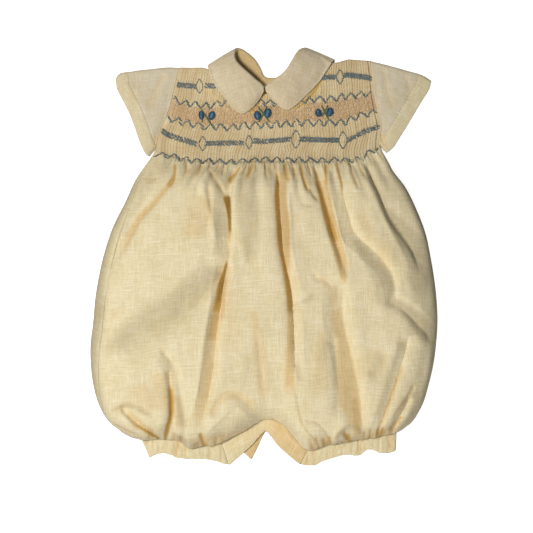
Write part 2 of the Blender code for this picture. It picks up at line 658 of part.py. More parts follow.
def leg_band(name, columns, lower):
    """The casing round one leg, pressed flat."""
    first, last = columns[0], columns[-1]

    def near(s):
        u = first + (last - first) * np.asarray(s, float)
        return bubble_xy(u, band_top(u))

    first_end, last_end = near(np.array([0.0, 1.0]))
    return flat_tube(
        name, near, lambda s: along(lower, s),
        lambda s: along([first_end, lower[0]], s), lambda s: along([last_end, lower[-1]], s),
        lambda t: LEG_BAND_HEIGHT - 1.2, lambda t: 1.0, (columns[1:-1] - first) / (last - first), rings=4,
        ripple=BAND_RIPPLE,
    )


def crotch_band(name, columns, lower, height):
    """A flat strip along the arch between the legs."""
    upper = bubble_xy(columns, band_top(columns))
    under = along(lower, (columns - columns[0]) / (columns[-1] - columns[0]))
    points = []
    for share in (0.0, 0.35, 0.7, 1.0):
        xy = upper + (under - upper) * share
        points.append(np.column_stack([xy, np.full(len(columns), height)]))
    return object_of(name, np.vstack(points), grid_faces(4, len(columns)), LINEN, WALL)


def collar_section(row, mirrored):
    """Points across the collar at one row of its table: up the stand, round the fold and down the fall."""
    seam, fold, edge, facing = row[0:3], row[3:6], row[6:9], math.radians(row[9])
    fall = edge - fold
    reach = np.hypot(fall[0], fall[1])
    ahead = np.array([fall[0], fall[1], 0]) / reach
    beside = np.array([-ahead[1], ahead[0], 0]) * (1 if mirrored else -1)
    out = beside * math.cos(facing) + np.array([0.0, 0.0, 1.0]) * math.sin(facing)
    turn = min(FOLD_RADIUS, 0.2 * reach)
    crown = FALL_CROWN * min(1, reach / 25) * max(0, math.sin(facing))
    below = fold + ahead * turn * 1.3 - out * turn
    above = fold + ahead * turn * 1.3 + out * turn
    before = fold + ahead * turn * 0.3 - out * turn * 0.72
    after = fold + ahead * turn * 0.3 + out * turn * 0.72
    section = [seam, (seam + below) / 2, below, before, fold, after, above]
    for share in (0.25, 0.5, 0.75, 1.0):
        section.append(above + (edge - above) * share + out * crown * math.sin(math.pi * share))
    section = np.array(section)
    floor = np.full(len(section), WALL / 2)
    if row[9] > 30:  # in front of the shoulders it lies on the smocked front
        floor = bodice_base(section[:, 0], section[:, 1]) + WALL + PLEAT_RISE + SEAM + WALL / 2 + 0.15
    section[:, 2] = np.maximum(section[:, 2], floor)
    return section


def collar_half(name, table, mirrored):
    """Half of a flat round collar: its stand rises from the neck seam, turns over, and falls outwards."""
    rows = smooth(np.arange(len(table)), table, np.linspace(0, len(table) - 1, 25))
    points = np.array([collar_section(row, mirrored) for row in rows])
    return object_of(name, points.reshape(-1, 3), grid_faces(*points.shape[:2]), LINEN, WALL)


# ---------------------------------------------------------------- the romper

for leftover in list(bpy.data.objects):
    bpy.data.objects.remove(leftover)
ROMPER = bpy.data.objects.new("romper", None)
bpy.context.scene.collection.objects.link(ROMPER)

front_panel()
back_body()
back_bodice("back_bodice_left", BACK_LEFT_COLUMNS)
back_bodice("back_bodice_right", BACK_RIGHT_COLUMNS)
sleeve("sleeve_left", ARMHOLE_LEFT, SLEEVE_LEFT_TOP, SLEEVE_LEFT_HEM, -1)
sleeve("sleeve_right", ARMHOLE_RIGHT, SLEEVE_RIGHT_TOP, SLEEVE_RIGHT_HEM, 1)
collar_half("collar_left", COLLAR_LEFT, False)
collar_half("collar_right", COLLAR_RIGHT, True)
leg_band("leg_band_left", LEG_LEFT_COLUMNS, LEG_LEFT_LOWER)
leg_band("leg_band_right", LEG_RIGHT_COLUMNS, LEG_RIGHT_LOWER)
crotch_band("crotch_band_front", CROTCH_COLUMNS, CROTCH_FRONT_LOWER, CROTCH_HEIGHT)
crotch_band("crotch_band_back", CROTCH_COLUMNS[1:], CROTCH_BACK_LOWER, WALL / 2)
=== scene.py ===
"""A smocked baby romper, laid flat on its back with its front up.

The frame holds its plain solids. Each is replaced here by cloth on the same form, with finer rows and
columns, its creases, hems and weave, and the smocking is worked over the pleats in stranded thread.
The tables are in millimetres, in the solids' own drawing; MIDDLE and MM bring them onto the frame.
"""

import math

import bpy
import numpy as np
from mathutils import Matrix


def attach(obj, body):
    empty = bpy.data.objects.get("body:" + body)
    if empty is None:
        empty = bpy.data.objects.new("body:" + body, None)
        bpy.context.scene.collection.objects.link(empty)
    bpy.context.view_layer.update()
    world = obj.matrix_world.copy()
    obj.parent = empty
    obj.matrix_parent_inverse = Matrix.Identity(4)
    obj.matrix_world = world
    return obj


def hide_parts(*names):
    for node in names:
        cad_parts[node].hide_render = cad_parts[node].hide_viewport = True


MM = 0.001

# Middle of the outline that the tables draw, which is set on the origin, in millimetres.
MIDDLE = (-0.096, 0.776, 0.0)

# Driving sizes, in millimetres.
WALL = 1.2                # thickness of one layer of cloth
SEAM = 0.3                # gap between two pieces at a seam
PLEATS = 76               # smocked pleats across the front
PLEAT_RISE = 1.5          # height of a pleat's ridge over its valley
SMOCK_START, SMOCK_END = 0.014, 0.986  # share of the bodice's width that is pleated
PLEATS_A_GATHER = 4       # pleats that run together in each gather just under the smocking
GATHER_DEPTH = 1.7
PUFF = 20.0               # how far the bubble stands up over its edges
SIDE_ROUND, WAIST_ROUND, HEM_ROUND = 48.0, 34.0, 26.0  # width of the bubble's rounding at its edges
DOME = 4.5                # crown of the smocked front
CROWN_AT, CROWN_HALF = 3, 122  # x of the crown's middle, and half its width
CROWN_TOP, CROWN_RISE = 200, 100  # y from which it rises, and how far down it is full
COLLAR_LIFT = 1.8         # the back collar lies under the back bodice and lifts it
NECK, COLLAR_REACH = (8, 205), (72, 62)  # middle of the neck, and how far the collar reaches from it
HEM_LAP = 2.0             # how far the front panel laps over the bands that it is gathered onto
CENTRE_BACK = 12.2        # x of the back opening

CLEARANCE = SEAM + 0.1    # the same gap where two edges meet at an angle

# Outlines, as x and y.
ARMHOLE_LEFT = (
    (-88.5, 198), (-92.5, 181), (-96, 166), (-102, 147), (-109, 132), (-112, 120), (-112.5, 111.5),
)
ARMHOLE_RIGHT = (
    (111.3, 205), (113.4, 187), (115.4, 167.5), (118.6, 152), (121.5, 138), (120, 125), (119.5, 115),
)
FRONT_TOP = (
    (-88.5, 198), (-64, 198), (-57, 195.5), (-48, 195), (-41, 198), (-36, 195.5), (-31, 190), (-24, 183),
    (-14, 175.5), (1, 170), (15, 174.5), (26, 181), (36, 192), (43, 199), (52, 201), (66, 201.5),
    (77, 203.5), (88, 206.7), (111.3, 205),
)
BACK_TOP = (
    (-88.5, 198), (-66, 197.5), (-60, 193), (-50, 191), (-42, 195), (-36, 200), (-32, 200.5), (-24, 196.5),
    (-12, 186), (6, 179), (22, 185), (33, 195), (40, 200), (46, 199), (54, 197), (66, 197), (76, 200),
    (86, 206), (111.3, 205),
)
# columns: share across, x, y
WAIST = (
    (0.0, -112.5, 111.5), (0.03, -106, 108.5), (0.07, -97, 105), (0.106, -88, 102.5), (0.196, -67, 100),
    (0.343, -33, 99), (0.485, 0, 99), (0.692, 48, 99), (0.847, 84, 101), (0.9375, 105, 105),
    (0.97, 113, 109.5), (1.0, 119.5, 115),
)
LEFT_SIDE = (
    (-112.5, 111.5), (-118.2, 103.3), (-124.3, 94.6), (-132.5, 82.2), (-144, 57.2), (-156.4, 32.2),
    (-165, 7.3), (-171, -17.7), (-175.2, -42.6), (-177.5, -67.6), (-180.4, -95), (-180, -113),
    (-177.5, -134), (-171.5, -155), (-163.5, -169.5), (-155, -178.5),
)
RIGHT_SIDE = (
    (119.5, 115), (124.5, 107.3), (129.4, 98.8), (133.6, 90.5), (146, 73.8), (158.5, 48.9),
    (167.9, 23.9), (173.1, -1), (177.2, -26), (179.6, -50), (180.2, -66), (179, -88), (176, -112),
    (171, -134), (166, -151.5), (158.5, -167),
)
# columns: share across, x, y
HEM = (
    (0.0, -155, -178.5), (0.024, -148.5, -183.5), (0.0575, -138, -188.5), (0.0816, -130, -190.8),
    (0.1107, -120, -191.2), (0.16, -103, -190), (0.228, -80, -194), (0.295, -57, -197), (0.332, -45, -193),
    (0.389, -27, -185), (0.434, -14, -177), (0.471, -3, -170), (0.4975, 6, -169), (0.542, 20, -175),
    (0.599, 33, -190), (0.653, 47, -202), (0.693, 60, -197), (0.746, 78, -194), (0.787, 92, -192),
    (0.831, 107, -189), (0.869, 120, -187.5), (0.923, 138, -183.2), (0.968, 151.5, -175.3),
    (1.0, 158.5, -167),
)
# How the bubble's edge runs. columns: share down, height of the outermost line, left seam's inset
SIDE_EDGE = (
    (0.0, 2.0, 0.5), (0.06, 5.0, 2.2), (0.15, 9.0, 5.0), (0.3, 11.0, 10.0), (0.55, 11.5, 12.0),
    (0.75, 11.0, 11.0), (0.88, 8.5, 7.5), (0.95, 5.5, 3.5), (1.0, 2.4, 0.8),
)
LEAST_WRAP = 1.6          # below this inset the back ends at the side itself
# Height of the front panel's lower edge. columns: share across, height
HEM_HEIGHT = (
    (0.0, 2.2), (0.05, 3.4), (0.08, 6.0), (0.12, 6.4), (0.33, 6.4), (0.4, 5.2), (0.5, 5.0), (0.6, 5.2),
    (0.66, 6.4), (0.9, 6.4), (0.935, 6.0), (0.965, 3.6), (1.0, 2.5),
)

# The bubble's large folds. columns: depth, width on the left and on the right of the line as it runs
# (negative where that side is a straight wall), line along the bottom of the fold
FOLDS = {
    "left_roll": (4.5, 5.0, 7.0, ((-93, 98), (-93, 84), (-97, 76), (-104, 68), (-113, 56), (-126, 42),
                                  (-141, 19), (-152, 0), (-158, -25))),
    "left_front": (7.5, 2.6, -17.0, ((-25, 94), (-30, 86), (-34, 79), (-34.5, 70), (-35.2, 61),
                                     (-35.5, 41), (-35.5, 17), (-36, 1), (-38.5, -10))),
    "left_lower": (8.5, 4.0, -12.0, ((-36.5, 3), (-38.3, -10), (-40.5, -23), (-42.8, -36),
                                     (-43.9, -49), (-46, -62), (-48.3, -76), (-49.9, -95),
                                     (-53.2, -120), (-57.7, -146), (-62.5, -165), (-66, -184))),
    "centre": (10.0, -9.0, 6.0, ((13, 99), (14.7, 87), (16.5, 74), (16.6, 61), (17.1, 48), (18.6, 22),
                                 (21.8, -4), (24.7, -17), (28, -30), (30.2, -56), (31.7, -82),
                                 (32, -107), (32, -124), (31, -140))),
    "right_front": (9.0, -6.5, 6.0, ((52, 99), (57.3, 80), (61.3, 67), (65, 54), (68.4, 41),
                                     (71.3, 28), (79, 2), (82, -12), (83, -26))),
    "right_lower": (7.0, 6.0, -22.0, ((83.5, -16), (82, -50), (85.2, -82), (89.2, -95), (94.3, -120),
                                      (98.5, -140), (100.8, -170), (101, -190))),
    "right_mid": (5.0, 6.0, -14.0, ((75, 99), (80.1, 76), (82, 61), (87, 43), (94, 24), (104.8, 13),
                                    (117, 2), (128, -11), (134, -26), (135, -43), (132, -58))),
    "right_roll": (6.0, -22.0, 4.0, ((105, 99), (112.4, 78), (118, 66), (123, 55), (130, 42),
                                     (140, 28), (150, 13), (158, -3), (164, -22))),
    "left_sag": (8.5, 10.0, -27.0, ((-38, -5), (-49, -23), (-63, -40), (-74, -54), (-94, -67),
                                    (-114, -76), (-128, -83), (-142, -88), (-154, -92), (-168, -104))),
    "right_sag": (4.5, -13.0, 6.0, ((124, -44), (136, -50), (146, -57), (157, -68), (168, -80),
                                    (174, -92))),
    "left_leg_crease": (3.4, 6.0, -12.0, ((-109, -95), (-98.5, -105), (-91.5, -118), (-88, -133),
                                          (-85, -149), (-82, -166), (-80, -184))),
    "left_leg_tuck": (6.6, 3.5, 5.0, ((-98, -114), (-96, -134), (-95, -151), (-95.5, -163),
                                      (-99, -176), (-103, -190), (-106, -204))),
    "left_leg_end": (6.0, 5.0, 4.0, ((-150, -154), (-139, -164), (-128, -175), (-119, -181),
                                     (-110, -190), (-100, -201))),
    "right_leg_inner": (2.4, 6.0, -12.0, ((71, -80), (74, -111), (75, -135), (75, -153), (76, -172))),
    "right_leg_long": (4.6, 4.4, -10.0, ((150, -80), (144, -103), (139, -120), (134, -135),
                                         (129.5, -148), (124, -163), (114, -190))),
    "right_leg_end": (5.0, 5.0, 4.0, ((152, -144), (143.5, -160), (137, -170), (129, -185))),
}

# The threads of the cloth run along these folds.
GUIDES = (
    FOLDS["left_front"][3][:-1] + FOLDS["left_lower"][3][1:],
    FOLDS["centre"][3],
    FOLDS["right_front"][3][:-1] + FOLDS["right_lower"][3][1:],
    FOLDS["right_mid"][3],
)

# Collar halves, one row for each section from the centre front round to the centre back.
# columns: seam x, y, z, fold x, y, z, edge x, y, z, and the way that the fall faces, in degrees over level
COLLAR_LEFT = (
    (-1.6, 171.8, 8.3, -0.5, 177.2, 12.0, -0.4, 173.2, 12.2, 90),
    (-4, 172.5, 8.3, -3.5, 181, 12.8, -5.2, 164.5, 9.5, 90),
    (-8, 174, 8.2, -7, 183.5, 13.5, -10, 158.5, 9.5, 90),
    (-13, 176.5, 8.0, -11, 187, 14.5, -17, 152, 9.5, 90),
    (-18, 180, 8.0, -15, 190.5, 15.2, -24, 150, 9.5, 90),
    (-23, 184, 7.8, -19.5, 194.5, 15.6, -33, 156, 9.5, 90),
    (-28, 189, 7.6, -24.5, 199, 15.6, -42, 168, 8.8, 90),
    (-33, 195.5, 7.2, -28.8, 204, 14.5, -50, 178, 8.2, 88),
    (-37, 200.5, 7.0, -30.5, 209.5, 12.0, -55.5, 189, 7.5, 75),
    (-39, 204, 6.6, -29.5, 215, 8.6, -58, 198, 5.6, 40),
    (-37.5, 205.5, 6.0, -26.5, 217.2, 5.4, -58, 200.5, 3.2, -5),
    (-33, 205, 5.2, -22.5, 216.5, 3.4, -55, 196, 0.8, -60),
    (-25, 200.5, 4.4, -16.5, 212.5, 2.8, -46, 181, 0.6, -90),
    (-17, 193.5, 4.1, -9.5, 206, 2.4, -33, 166, 0.6, -90),
    (-10, 186.5, 4.1, -4.2, 197.5, 2.4, -18, 156, 0.6, -90),
    (-2, 181.5, 4.1, 0, 188.8, 2.4, -6, 151.5, 0.6, -90),
    (5, 180, 4.1, 6, 187, 2.4, 4, 150.5, 0.6, -90),
    (11, 180.5, 4.1, 11.3, 187, 2.4, 11.3, 150.5, 0.6, -90),
)
COLLAR_RIGHT = (
    (2.6, 171.8, 8.3, 1.5, 177.0, 12.0, 2.2, 173.4, 12.2, 90),
    (5.6, 172.8, 8.3, 5.2, 181, 12.6, 8, 165.5, 9.5, 90),
    (9, 174, 8.2, 8, 183.5, 13.0, 12, 162, 9.5, 90),
    (14, 176, 8.0, 12, 186, 13.5, 18.5, 156, 9.5, 90),
    (19, 179, 8.0, 16, 188.2, 14.0, 26, 154, 9.5, 90),
    (24, 182.5, 7.8, 21, 192.5, 14.4, 33, 158.5, 9.5, 90),
    (29, 187, 7.6, 25.5, 198, 14.6, 41, 166, 9.0, 90),
    (34, 192.5, 7.2, 29.3, 204.5, 14.2, 50, 175, 8.6, 90),
    (39, 198.5, 7.0, 33, 211, 12.6, 58.5, 184.5, 8.0, 80),
    (44, 203.5, 6.6, 37, 216, 9.4, 67, 197.5, 7.0, 50),
    (48, 206.5, 6.2, 41.5, 217.4, 6.0, 73, 206, 4.2, 8),
    (46, 207, 5.2, 41.5, 216, 3.4, 72, 201, 0.9, -60),
    (40, 203.5, 4.4, 37, 211.5, 2.8, 63, 184, 0.6, -90),
    (33, 197.5, 4.1, 32, 204.5, 2.4, 51, 168, 0.6, -90),
    (26, 190.5, 4.1, 26, 196.5, 2.4, 37, 156.5, 0.6, -90),
    (19, 184.5, 4.1, 19.8, 189.5, 2.4, 23, 151, 0.6, -90),
    (13.2, 181.5, 4.1, 13.6, 186, 2.4, 13.2, 150.5, 0.6, -90),
)
FOLD_RADIUS = 1.65        # of the collar's turn, at the middle of its wall
FALL_CROWN = 1.6          # how far the fall bows out between fold and edge

SLEEVE_LEFT_TOP = (
    (-89, 198), (-97, 198.6), (-117, 197), (-137.3, 194.5), (-152.9, 190.3), (-155, 186.5),
)
SLEEVE_LEFT_HEM = (
    (-155, 186.5), (-154, 178), (-147.5, 164), (-140.4, 150), (-134, 133), (-129, 119), (-122.7, 107.5),
    (-119.8, 105.2),
)
SLEEVE_RIGHT_TOP = (
    (112, 205), (121, 202.8), (134, 199.5), (148, 195.5), (167.4, 189.3), (174.7, 184.6),
)
SLEEVE_RIGHT_HEM = (
    (174.7, 184.6), (172.6, 177), (164, 162.5), (156, 149), (147.7, 135), (141, 124.5), (135.2, 115.4),
    (127.6, 108.8),
)
SLEEVE_PUFF = 2.6         # how far the sleeve stands up between its folds
CROTCH_FRONT_LOWER = (
    (-36.5, -217), (-26, -208), (-12.5, -196), (-1, -183.5), (2, -181.5), (5, -184), (14, -196),
    (26, -207), (37.5, -216.5),
)
CROTCH_BACK_LOWER = (
    (-17, -216.5), (-11.5, -208), (-6.5, -198), (-1, -186.5), (2, -182.2), (6, -186), (14, -196),
    (25, -205), (35, -213),
)
LEG_LEFT_LOWER = (
    (-120, -210), (-113, -206), (-104, -205), (-92, -209), (-72, -211), (-55, -212), (-45, -215),
    (-37.1, -217),
)
LEG_RIGHT_LOWER = (
    (38.0, -216.5), (53, -217), (62, -213), (71, -210), (83, -206.5), (100, -206.5), (108, -201),
    (124, -205), (138, -202),
)
LEG_BAND_HEIGHT = 4.2     # middle of the leg band's upper layer
CROTCH_HEIGHT = 3.4       # middle of the front crotch band

# The back of the bubble.
BACK_END = 0.9918         # share down of its lower edge, before it follows the bands

ARMHOLE_END = 0.97        # share down the armhole at which the sleeves end
SMOCK_WIDTH = SMOCK_END - SMOCK_START
BACK_SHARE = (CENTRE_BACK - BACK_TOP[0][0]) / (BACK_TOP[-1][0] - BACK_TOP[0][0])
OPENING = 0.0008          # half the gap at the back opening, as a share of the back's width
BACK_BAND_IN = 0.0224     # the back crotch band starts this much further along the hem
LEG_LEFT, LEG_RIGHT, CROTCH = (0.088, 0.3352), (0.6503, 0.923), (0.3357, 0.6499)  # shares along the hem

# ---------------------------------------------------------------- tables of the looks

HOLD = 3.0                # how far under the waist the last row of smocking still holds the pleats
RELEASE = (3.0, 13.0)     # the pleats fade out over this much of the bubble, each by its own amount
INNER_ROOM = 2.2          # how far the bubble's inner side stays clear of its creases
LEAST_HEIGHT = 2.4        # of the bubble's outer side
HANG = (-77, 8.5, 4.2)    # where its lower edge hangs over the left band: x, half width, depth
SLEEVE_HEM, COLLAR_EDGE = 13.5, 1.9  # from the edge to the line of stitches
THREAD = 0.62             # radius of the stranded thread
FINE_THREAD = 0.4         # radius of the thread of the trellis
SEWING = 0.2              # radius of the sewing thread

# Small creases of the front. columns: depth (a ridge's is negative), widths as for the folds, strength of the
# painted golden shade in it, line along the crease
CREASES = (
    (-0.9, 2.2, 5.0, 0.0, ((-44, -12), (-53, -36), (-60, -74), (-68, -133), (-74, -178))),
    (-4.0, 7.0, 7.0, 0.0, ((29, -50), (31.7, -82), (32, -107), (32, -124), (31, -142))),
    (-3.0, 6.0, 8.0, 0.0, ((70, 26), (76, 4), (80.5, -12), (83.5, -28), (83, -46))),
    (-1.0, 2.2, 4.0, 0.0, ((24.7, 84), (25.4, 61), (27.6, 41), (28.5, 20), (28.6, -14), (31, -50),
                           (35, -100))),
    (-0.9, 2.4, 4.0, 0.0, ((61.3, 80), (67.1, 67), (73.9, 41), (80.6, 15), (86.8, -10), (89.4, -21))),
    (-1.2, 4.0, 5.0, 0.0, ((102, 92), (112, 66), (123, 43), (142, 8), (154, -22))),
    (-1.4, 4.0, 6.0, 0.0, ((-66, 92), (-60, 60), (-52, 30), (-49, 2))),
    (2.4, 3.0, 3.0, 0.3, ((-52, 99), (-57, 91), (-52, 82), (-44, 70), (-39, 60))),
    (1.4, 4.0, 4.0, 0.2, ((-57, 74), (-55.5, 50), (-58, 33), (-60, 16))),
    (2.6, 2.4, 2.4, 0.9, ((-8, 102), (-14, 90), (-19, 79))),
    (2.2, -4.5, 1.6, 0.9, ((20, 103), (22.5, 90), (25, 74))),
    (2.8, 2.6, 2.0, 0.9, ((37, 103), (40, 84), (47, 64))),
    (2.6, 2.4, 2.0, 0.9, ((65, 103), (64, 84), (62, 70))),
    (2.4, 2.2, 2.2, 0.4, ((-82, 102), (-80, 90), (-84, 82))),
    (2.4, 2.0, 2.0, 0.4, ((-66, 102), (-66, 92), (-70, 82))),
    (2.2, 2.0, 2.0, 0.4, ((88, 103), (92, 84), (98, 68))),
    (2.0, 1.8, 1.8, 0.4, ((0, 103), (2, 90), (3, 77))),
    (1.5, 1.4, 1.4, 0.5, ((29, 103), (31, 90), (32, 78))),
    (2.2, 2.0, 2.0, 0.4, ((-40, 102), (-42, 90), (-43, 83))),
    (1.4, 1.4, 1.4, 0.5, ((-17, 102), (-19, 92), (-23, 84))),
    (1.4, 1.4, 1.4, 0.5, ((44, 103), (47, 92), (50, 82))),
    (2.0, 1.8, 1.8, 0.4, ((97, 105), (101, 90), (107, 78))),
    (1.8, 3.0, 2.2, 0.2, ((47, 71), (51, 64), (58, 57))),
    (0.9, 2.4, 2.4, 0.1, ((38, 54), (44, 53), (51, 54))),
    (1.6, 3.0, 5.0, 0.3, ((50, -18), (56, -22), (64, -25), (71, -32))),
    (1.2, 2.4, 2.4, 0.1, ((38, -46), (44, -44), (54, -38))),
    (1.2, 2.2, 2.2, 0.2, ((-126, 82), (-118, 80), (-108, 82))),
    (1.2, 2.5, 2.5, 0.2, ((-154, -50), (-162, -78), (-174, -108), (-177, -122))),
    (2.6, 2.4, 3.0, 0.2, ((-160, -161), (-146, -155), (-133, -155), (-122, -160), (-111, -168))),
    (1.4, 1.6, 2.4, 0.3, ((-158, -172), (-146, -178), (-128, -185))),
    (2.2, 3.0, 2.4, 0.2, ((-90, -186), (-84, -195), (-76, -199), (-69, -196))),
    (2.4, 5.0, 6.0, 0.3, ((-56, -165), (-45, -147), (-34, -141), (-21, -147), (-12, -159), (-8, -168))),
    (-1.6, 2.0, 2.6, 0.0, ((-64, -187), (-49, -171), (-36, -158), (-30, -155), (-22, -159), (-12, -171))),
    (3.2, 2.4, 2.4, 1.0, ((-66, -182), (-64, -190), (-61, -200))),
    (1.4, 3.0, 4.5, 0.2, ((-6, -80), (-4, -105), (-1, -130), (0, -152))),
    (1.2, 6.0, 6.0, 0.1, ((-10, 40), (-14, 10), (-12, -20))),
    (1.0, 1.3, 1.6, 0.2, ((32, -134), (36, -157), (40, -172), (49, -185), (58, -197))),
    (1.3, 1.4, 2.0, 0.2, ((40, -168), (53, -171), (62, -179), (69, -192))),
    (3.0, 2.5, 2.5, 1.0, ((81, -180), (86, -185), (90, -192), (91, -200))),
    (-2.4, 2.5, 2.5, 0.0, ((70, -194), (75, -182), (84, -175), (94, -177), (101, -186))),
    (1.8, 3.0, 3.0, 0.3, ((157, -132), (150, -143), (142, -154), (132, -168))),
    (1.6, 6.0, 7.0, 0.2, ((124, -97), (118, -116), (108, -126))),
)

# Painted shade in the cloth, from soft to golden in the depth of the folds. columns: strength, softness of
# its edges, and a line of x, y and half its width
GOLDEN_PAINTED_SHADE = (
    (1.0, 2.6, ((11.6, 100, 1.4), (13.1, 87, 1.8), (13.8, 66, 3.0), (14.8, 35, 3.3), (17.2, 9, 3.6),
                (20.4, -4, 3.7), (22.6, -17, 3.8), (24.4, -30, 4.0), (26, -43, 3.7), (26.8, -62, 3.8),
                (27.4, -82, 3))),
    (0.55, 4.0, ((25.6, -40, 3.8), (27, -69, 4.3), (27.3, -95, 4.7), (27, -118, 4.9), (25, -150, 5.0))),
    (0.55, 2.4, ((18.6, 98, 3.4), (19.4, 80, 4.2), (20.3, 61, 3.8), (22.4, 41, 4.2), (23.7, 22, 4.2),
                 (25.2, 2, 3.4), (27, -14, 2), (28.3, -27, 0.5))),
    (0.95, 2.6, ((50.5, 98, 1), (55.6, 80, 1.9), (59, 67, 2.8), (62, 54, 3.4), (65.6, 40, 4.2),
                 (69.2, 28, 4.5), (72.6, 15, 4.3), (76, 2, 3.6))),
    (0.6, 3.0, ((72, 20, 3.5), (76.5, 2, 4.4), (80.6, -14, 4), (83, -30, 3))),
    (0.45, 1.8, ((57, 88, 1.5), (64.4, 67, 2.7), (71.4, 41, 2.5), (78.1, 15, 2.5), (84.7, -10, 2.1),
                 (87, -26, 2))),
    (0.45, 6.0, ((73, -44, 5), (75, -56, 6), (76.2, -69, 6), (79, -82, 7), (83, -107, 8.7),
                 (86, -133, 11), (87.5, -146, 11.8), (93, -164, 8.6), (94, -186, 7.4))),
    (0.6, 3.0, ((93, -140, 3), (95.5, -168, 4.4), (97, -190, 4))),
    (0.4, 3.0, ((92, -110, 3), (95, -130, 3), (97.5, -150, 3), (98, -175, 3), (98, -190, 3))),
    (0.85, 1.6, ((74, 99, 1), (77.5, 85, 1.4), (80.1, 76, 1.8), (81, 64, 0.8))),
    (0.35, 1.6, ((80.5, 70, 0.9), (85.9, 43, 0.7), (91, 21, 0.9))),
    (0.5, 1.4, ((104, 99, 0.8), (112.4, 78, 1), (116.9, 66, 1.3), (121, 56, 1.4), (129, 38, 1.4))),
    (0.85, 2.2, ((-93, 98, 1.3), (-93, 84, 2.1), (-96, 77, 3), (-102, 70, 2.2))),
    (0.5, 4.0, ((-94, 80, 3), (-103.6, 68, 3), (-112.7, 56, 3.4), (-126.3, 42, 3.9), (-141, 19, 3.9),
                (-155, -10, 2.8))),
    (1.0, 1.6, ((-39.6, 66, 2), (-38.4, 60, 4), (-37, 53, 3.4), (-35.8, 44, 2.6), (-35.3, 32, 1.9),
                (-35.3, 20, 1.2))),
    (0.6, 1.2, ((-36, 30, 0.9), (-35.7, 17, 0.8), (-36.4, 1, 0.8), (-39.6, -10, 1.2), (-41, -16, 1.4))),
    (0.9, 2.0, ((-24.5, 94, 0.8), (-30, 86, 1.4), (-35, 80, 2.2), (-36, 74, 2))),
    (1.0, 2.4, ((-36.6, 0, 1.2), (-39.4, -10, 1.8), (-42.4, -22, 3.2), (-45.4, -34, 3.8),
                (-48.6, -50, 4), (-51.4, -66, 3))),
    (0.62, 3.0, ((-43, -22, 3), (-46.4, -38, 4), (-50.6, -62, 4.8), (-52.8, -80, 4.6), (-55, -96, 4))),
    (0.34, 4.0, ((-48, -49, 4), (-51.5, -66, 4.7), (-54, -82, 5.2), (-57.1, -107, 5.8),
                 (-61, -133, 5.8), (-66, -159, 5.2), (-70, -186, 3))),
    (0.45, 6.0, ((-37, -20, 2), (-40, -36, 3.6), (-43, -54, 4.2), (-45, -70, 3))),
    (0.3, 5.0, ((-57, 74, 2.6), (-55.8, 48, 3.2), (-57.7, 30, 2.6))),
    (0.3, 18.0, ((-62, 66, 7), (-68, 42, 13), (-72, 14, 10))),
    (0.2, 14.0, ((-44, 10, 5), (-38, -30, 6), (-32, -70, 7), (-34, -110, 6))),
    (1.0, 2.6, ((-97, -130, 1.2), (-96, -151, 2.8), (-96.5, -165, 2.6), (-100, -178, 2.2),
                (-103.5, -192, 1.6), (-107, -205, 1.4))),
    (0.3, 5.0, ((-91, -142, 2.6), (-89.4, -159, 3.9), (-87, -180, 3.9))),
    (0.3, 8.0, ((-112, -118, 6), (-106, -138, 6), (-102, -158, 4))),
    (0.45, 5.0, ((-143, -160, 2), (-132, -172, 4.4), (-121, -179, 4.4), (-111, -188, 3),
                 (-104, -196, 2))),
    (1.0, 2.4, ((-134, -172, 1.2), (-124, -179, 1.8), (-116, -184, 2), (-110, -189.5, 1.8),
                (-104, -197, 1.4))),
    (0.35, 4.0, ((-64, -192, 3), (-53, -189, 4), (-38, -186, 3), (-18, -178, 2))),
    (0.3, 5.0, ((-58, -168, 3), (-45, -148, 4), (-34, -142, 5), (-21, -147, 5), (-11, -160, 4))),
    (0.3, 10.0, ((-12, -50, 3), (-6, -84, 6), (-3, -120, 7), (0, -156, 5))),
    (0.25, 14.0, ((62, -70, 4), (58, -110, 8), (56, -150, 8))),
    (0.25, 16.0, ((-130, -130, 8), (-120, -146, 10), (-108, -160, 6))),
    (0.5, 3.0, ((145, -108, 1.0), (140.9, -120, 2), (135.7, -133, 2.4), (131.2, -146, 2.4),
                (125.3, -162, 2.2), (120, -173, 2.4), (114, -188, 2))),
    (0.7, 2.4, ((144, -164, 1.6), (137, -171, 2), (130, -182, 1.6))),
    (0.2, 14.0, ((114, -92, 7), (107, -110, 9), (104, -128, 7))),
    (0.3, 9.0, ((54, -19, 3), (64, -26, 4), (72, -40, 5), (70, -56, 4))),
    (0.25, 10.0, ((96, 54, 4), (108, 26, 7), (122, 6, 7), (136, -20, 5))),
    (0.9, 2.0, ((84, -183, 2), (87, -187, 2), (90, -193, 1.6))),
)
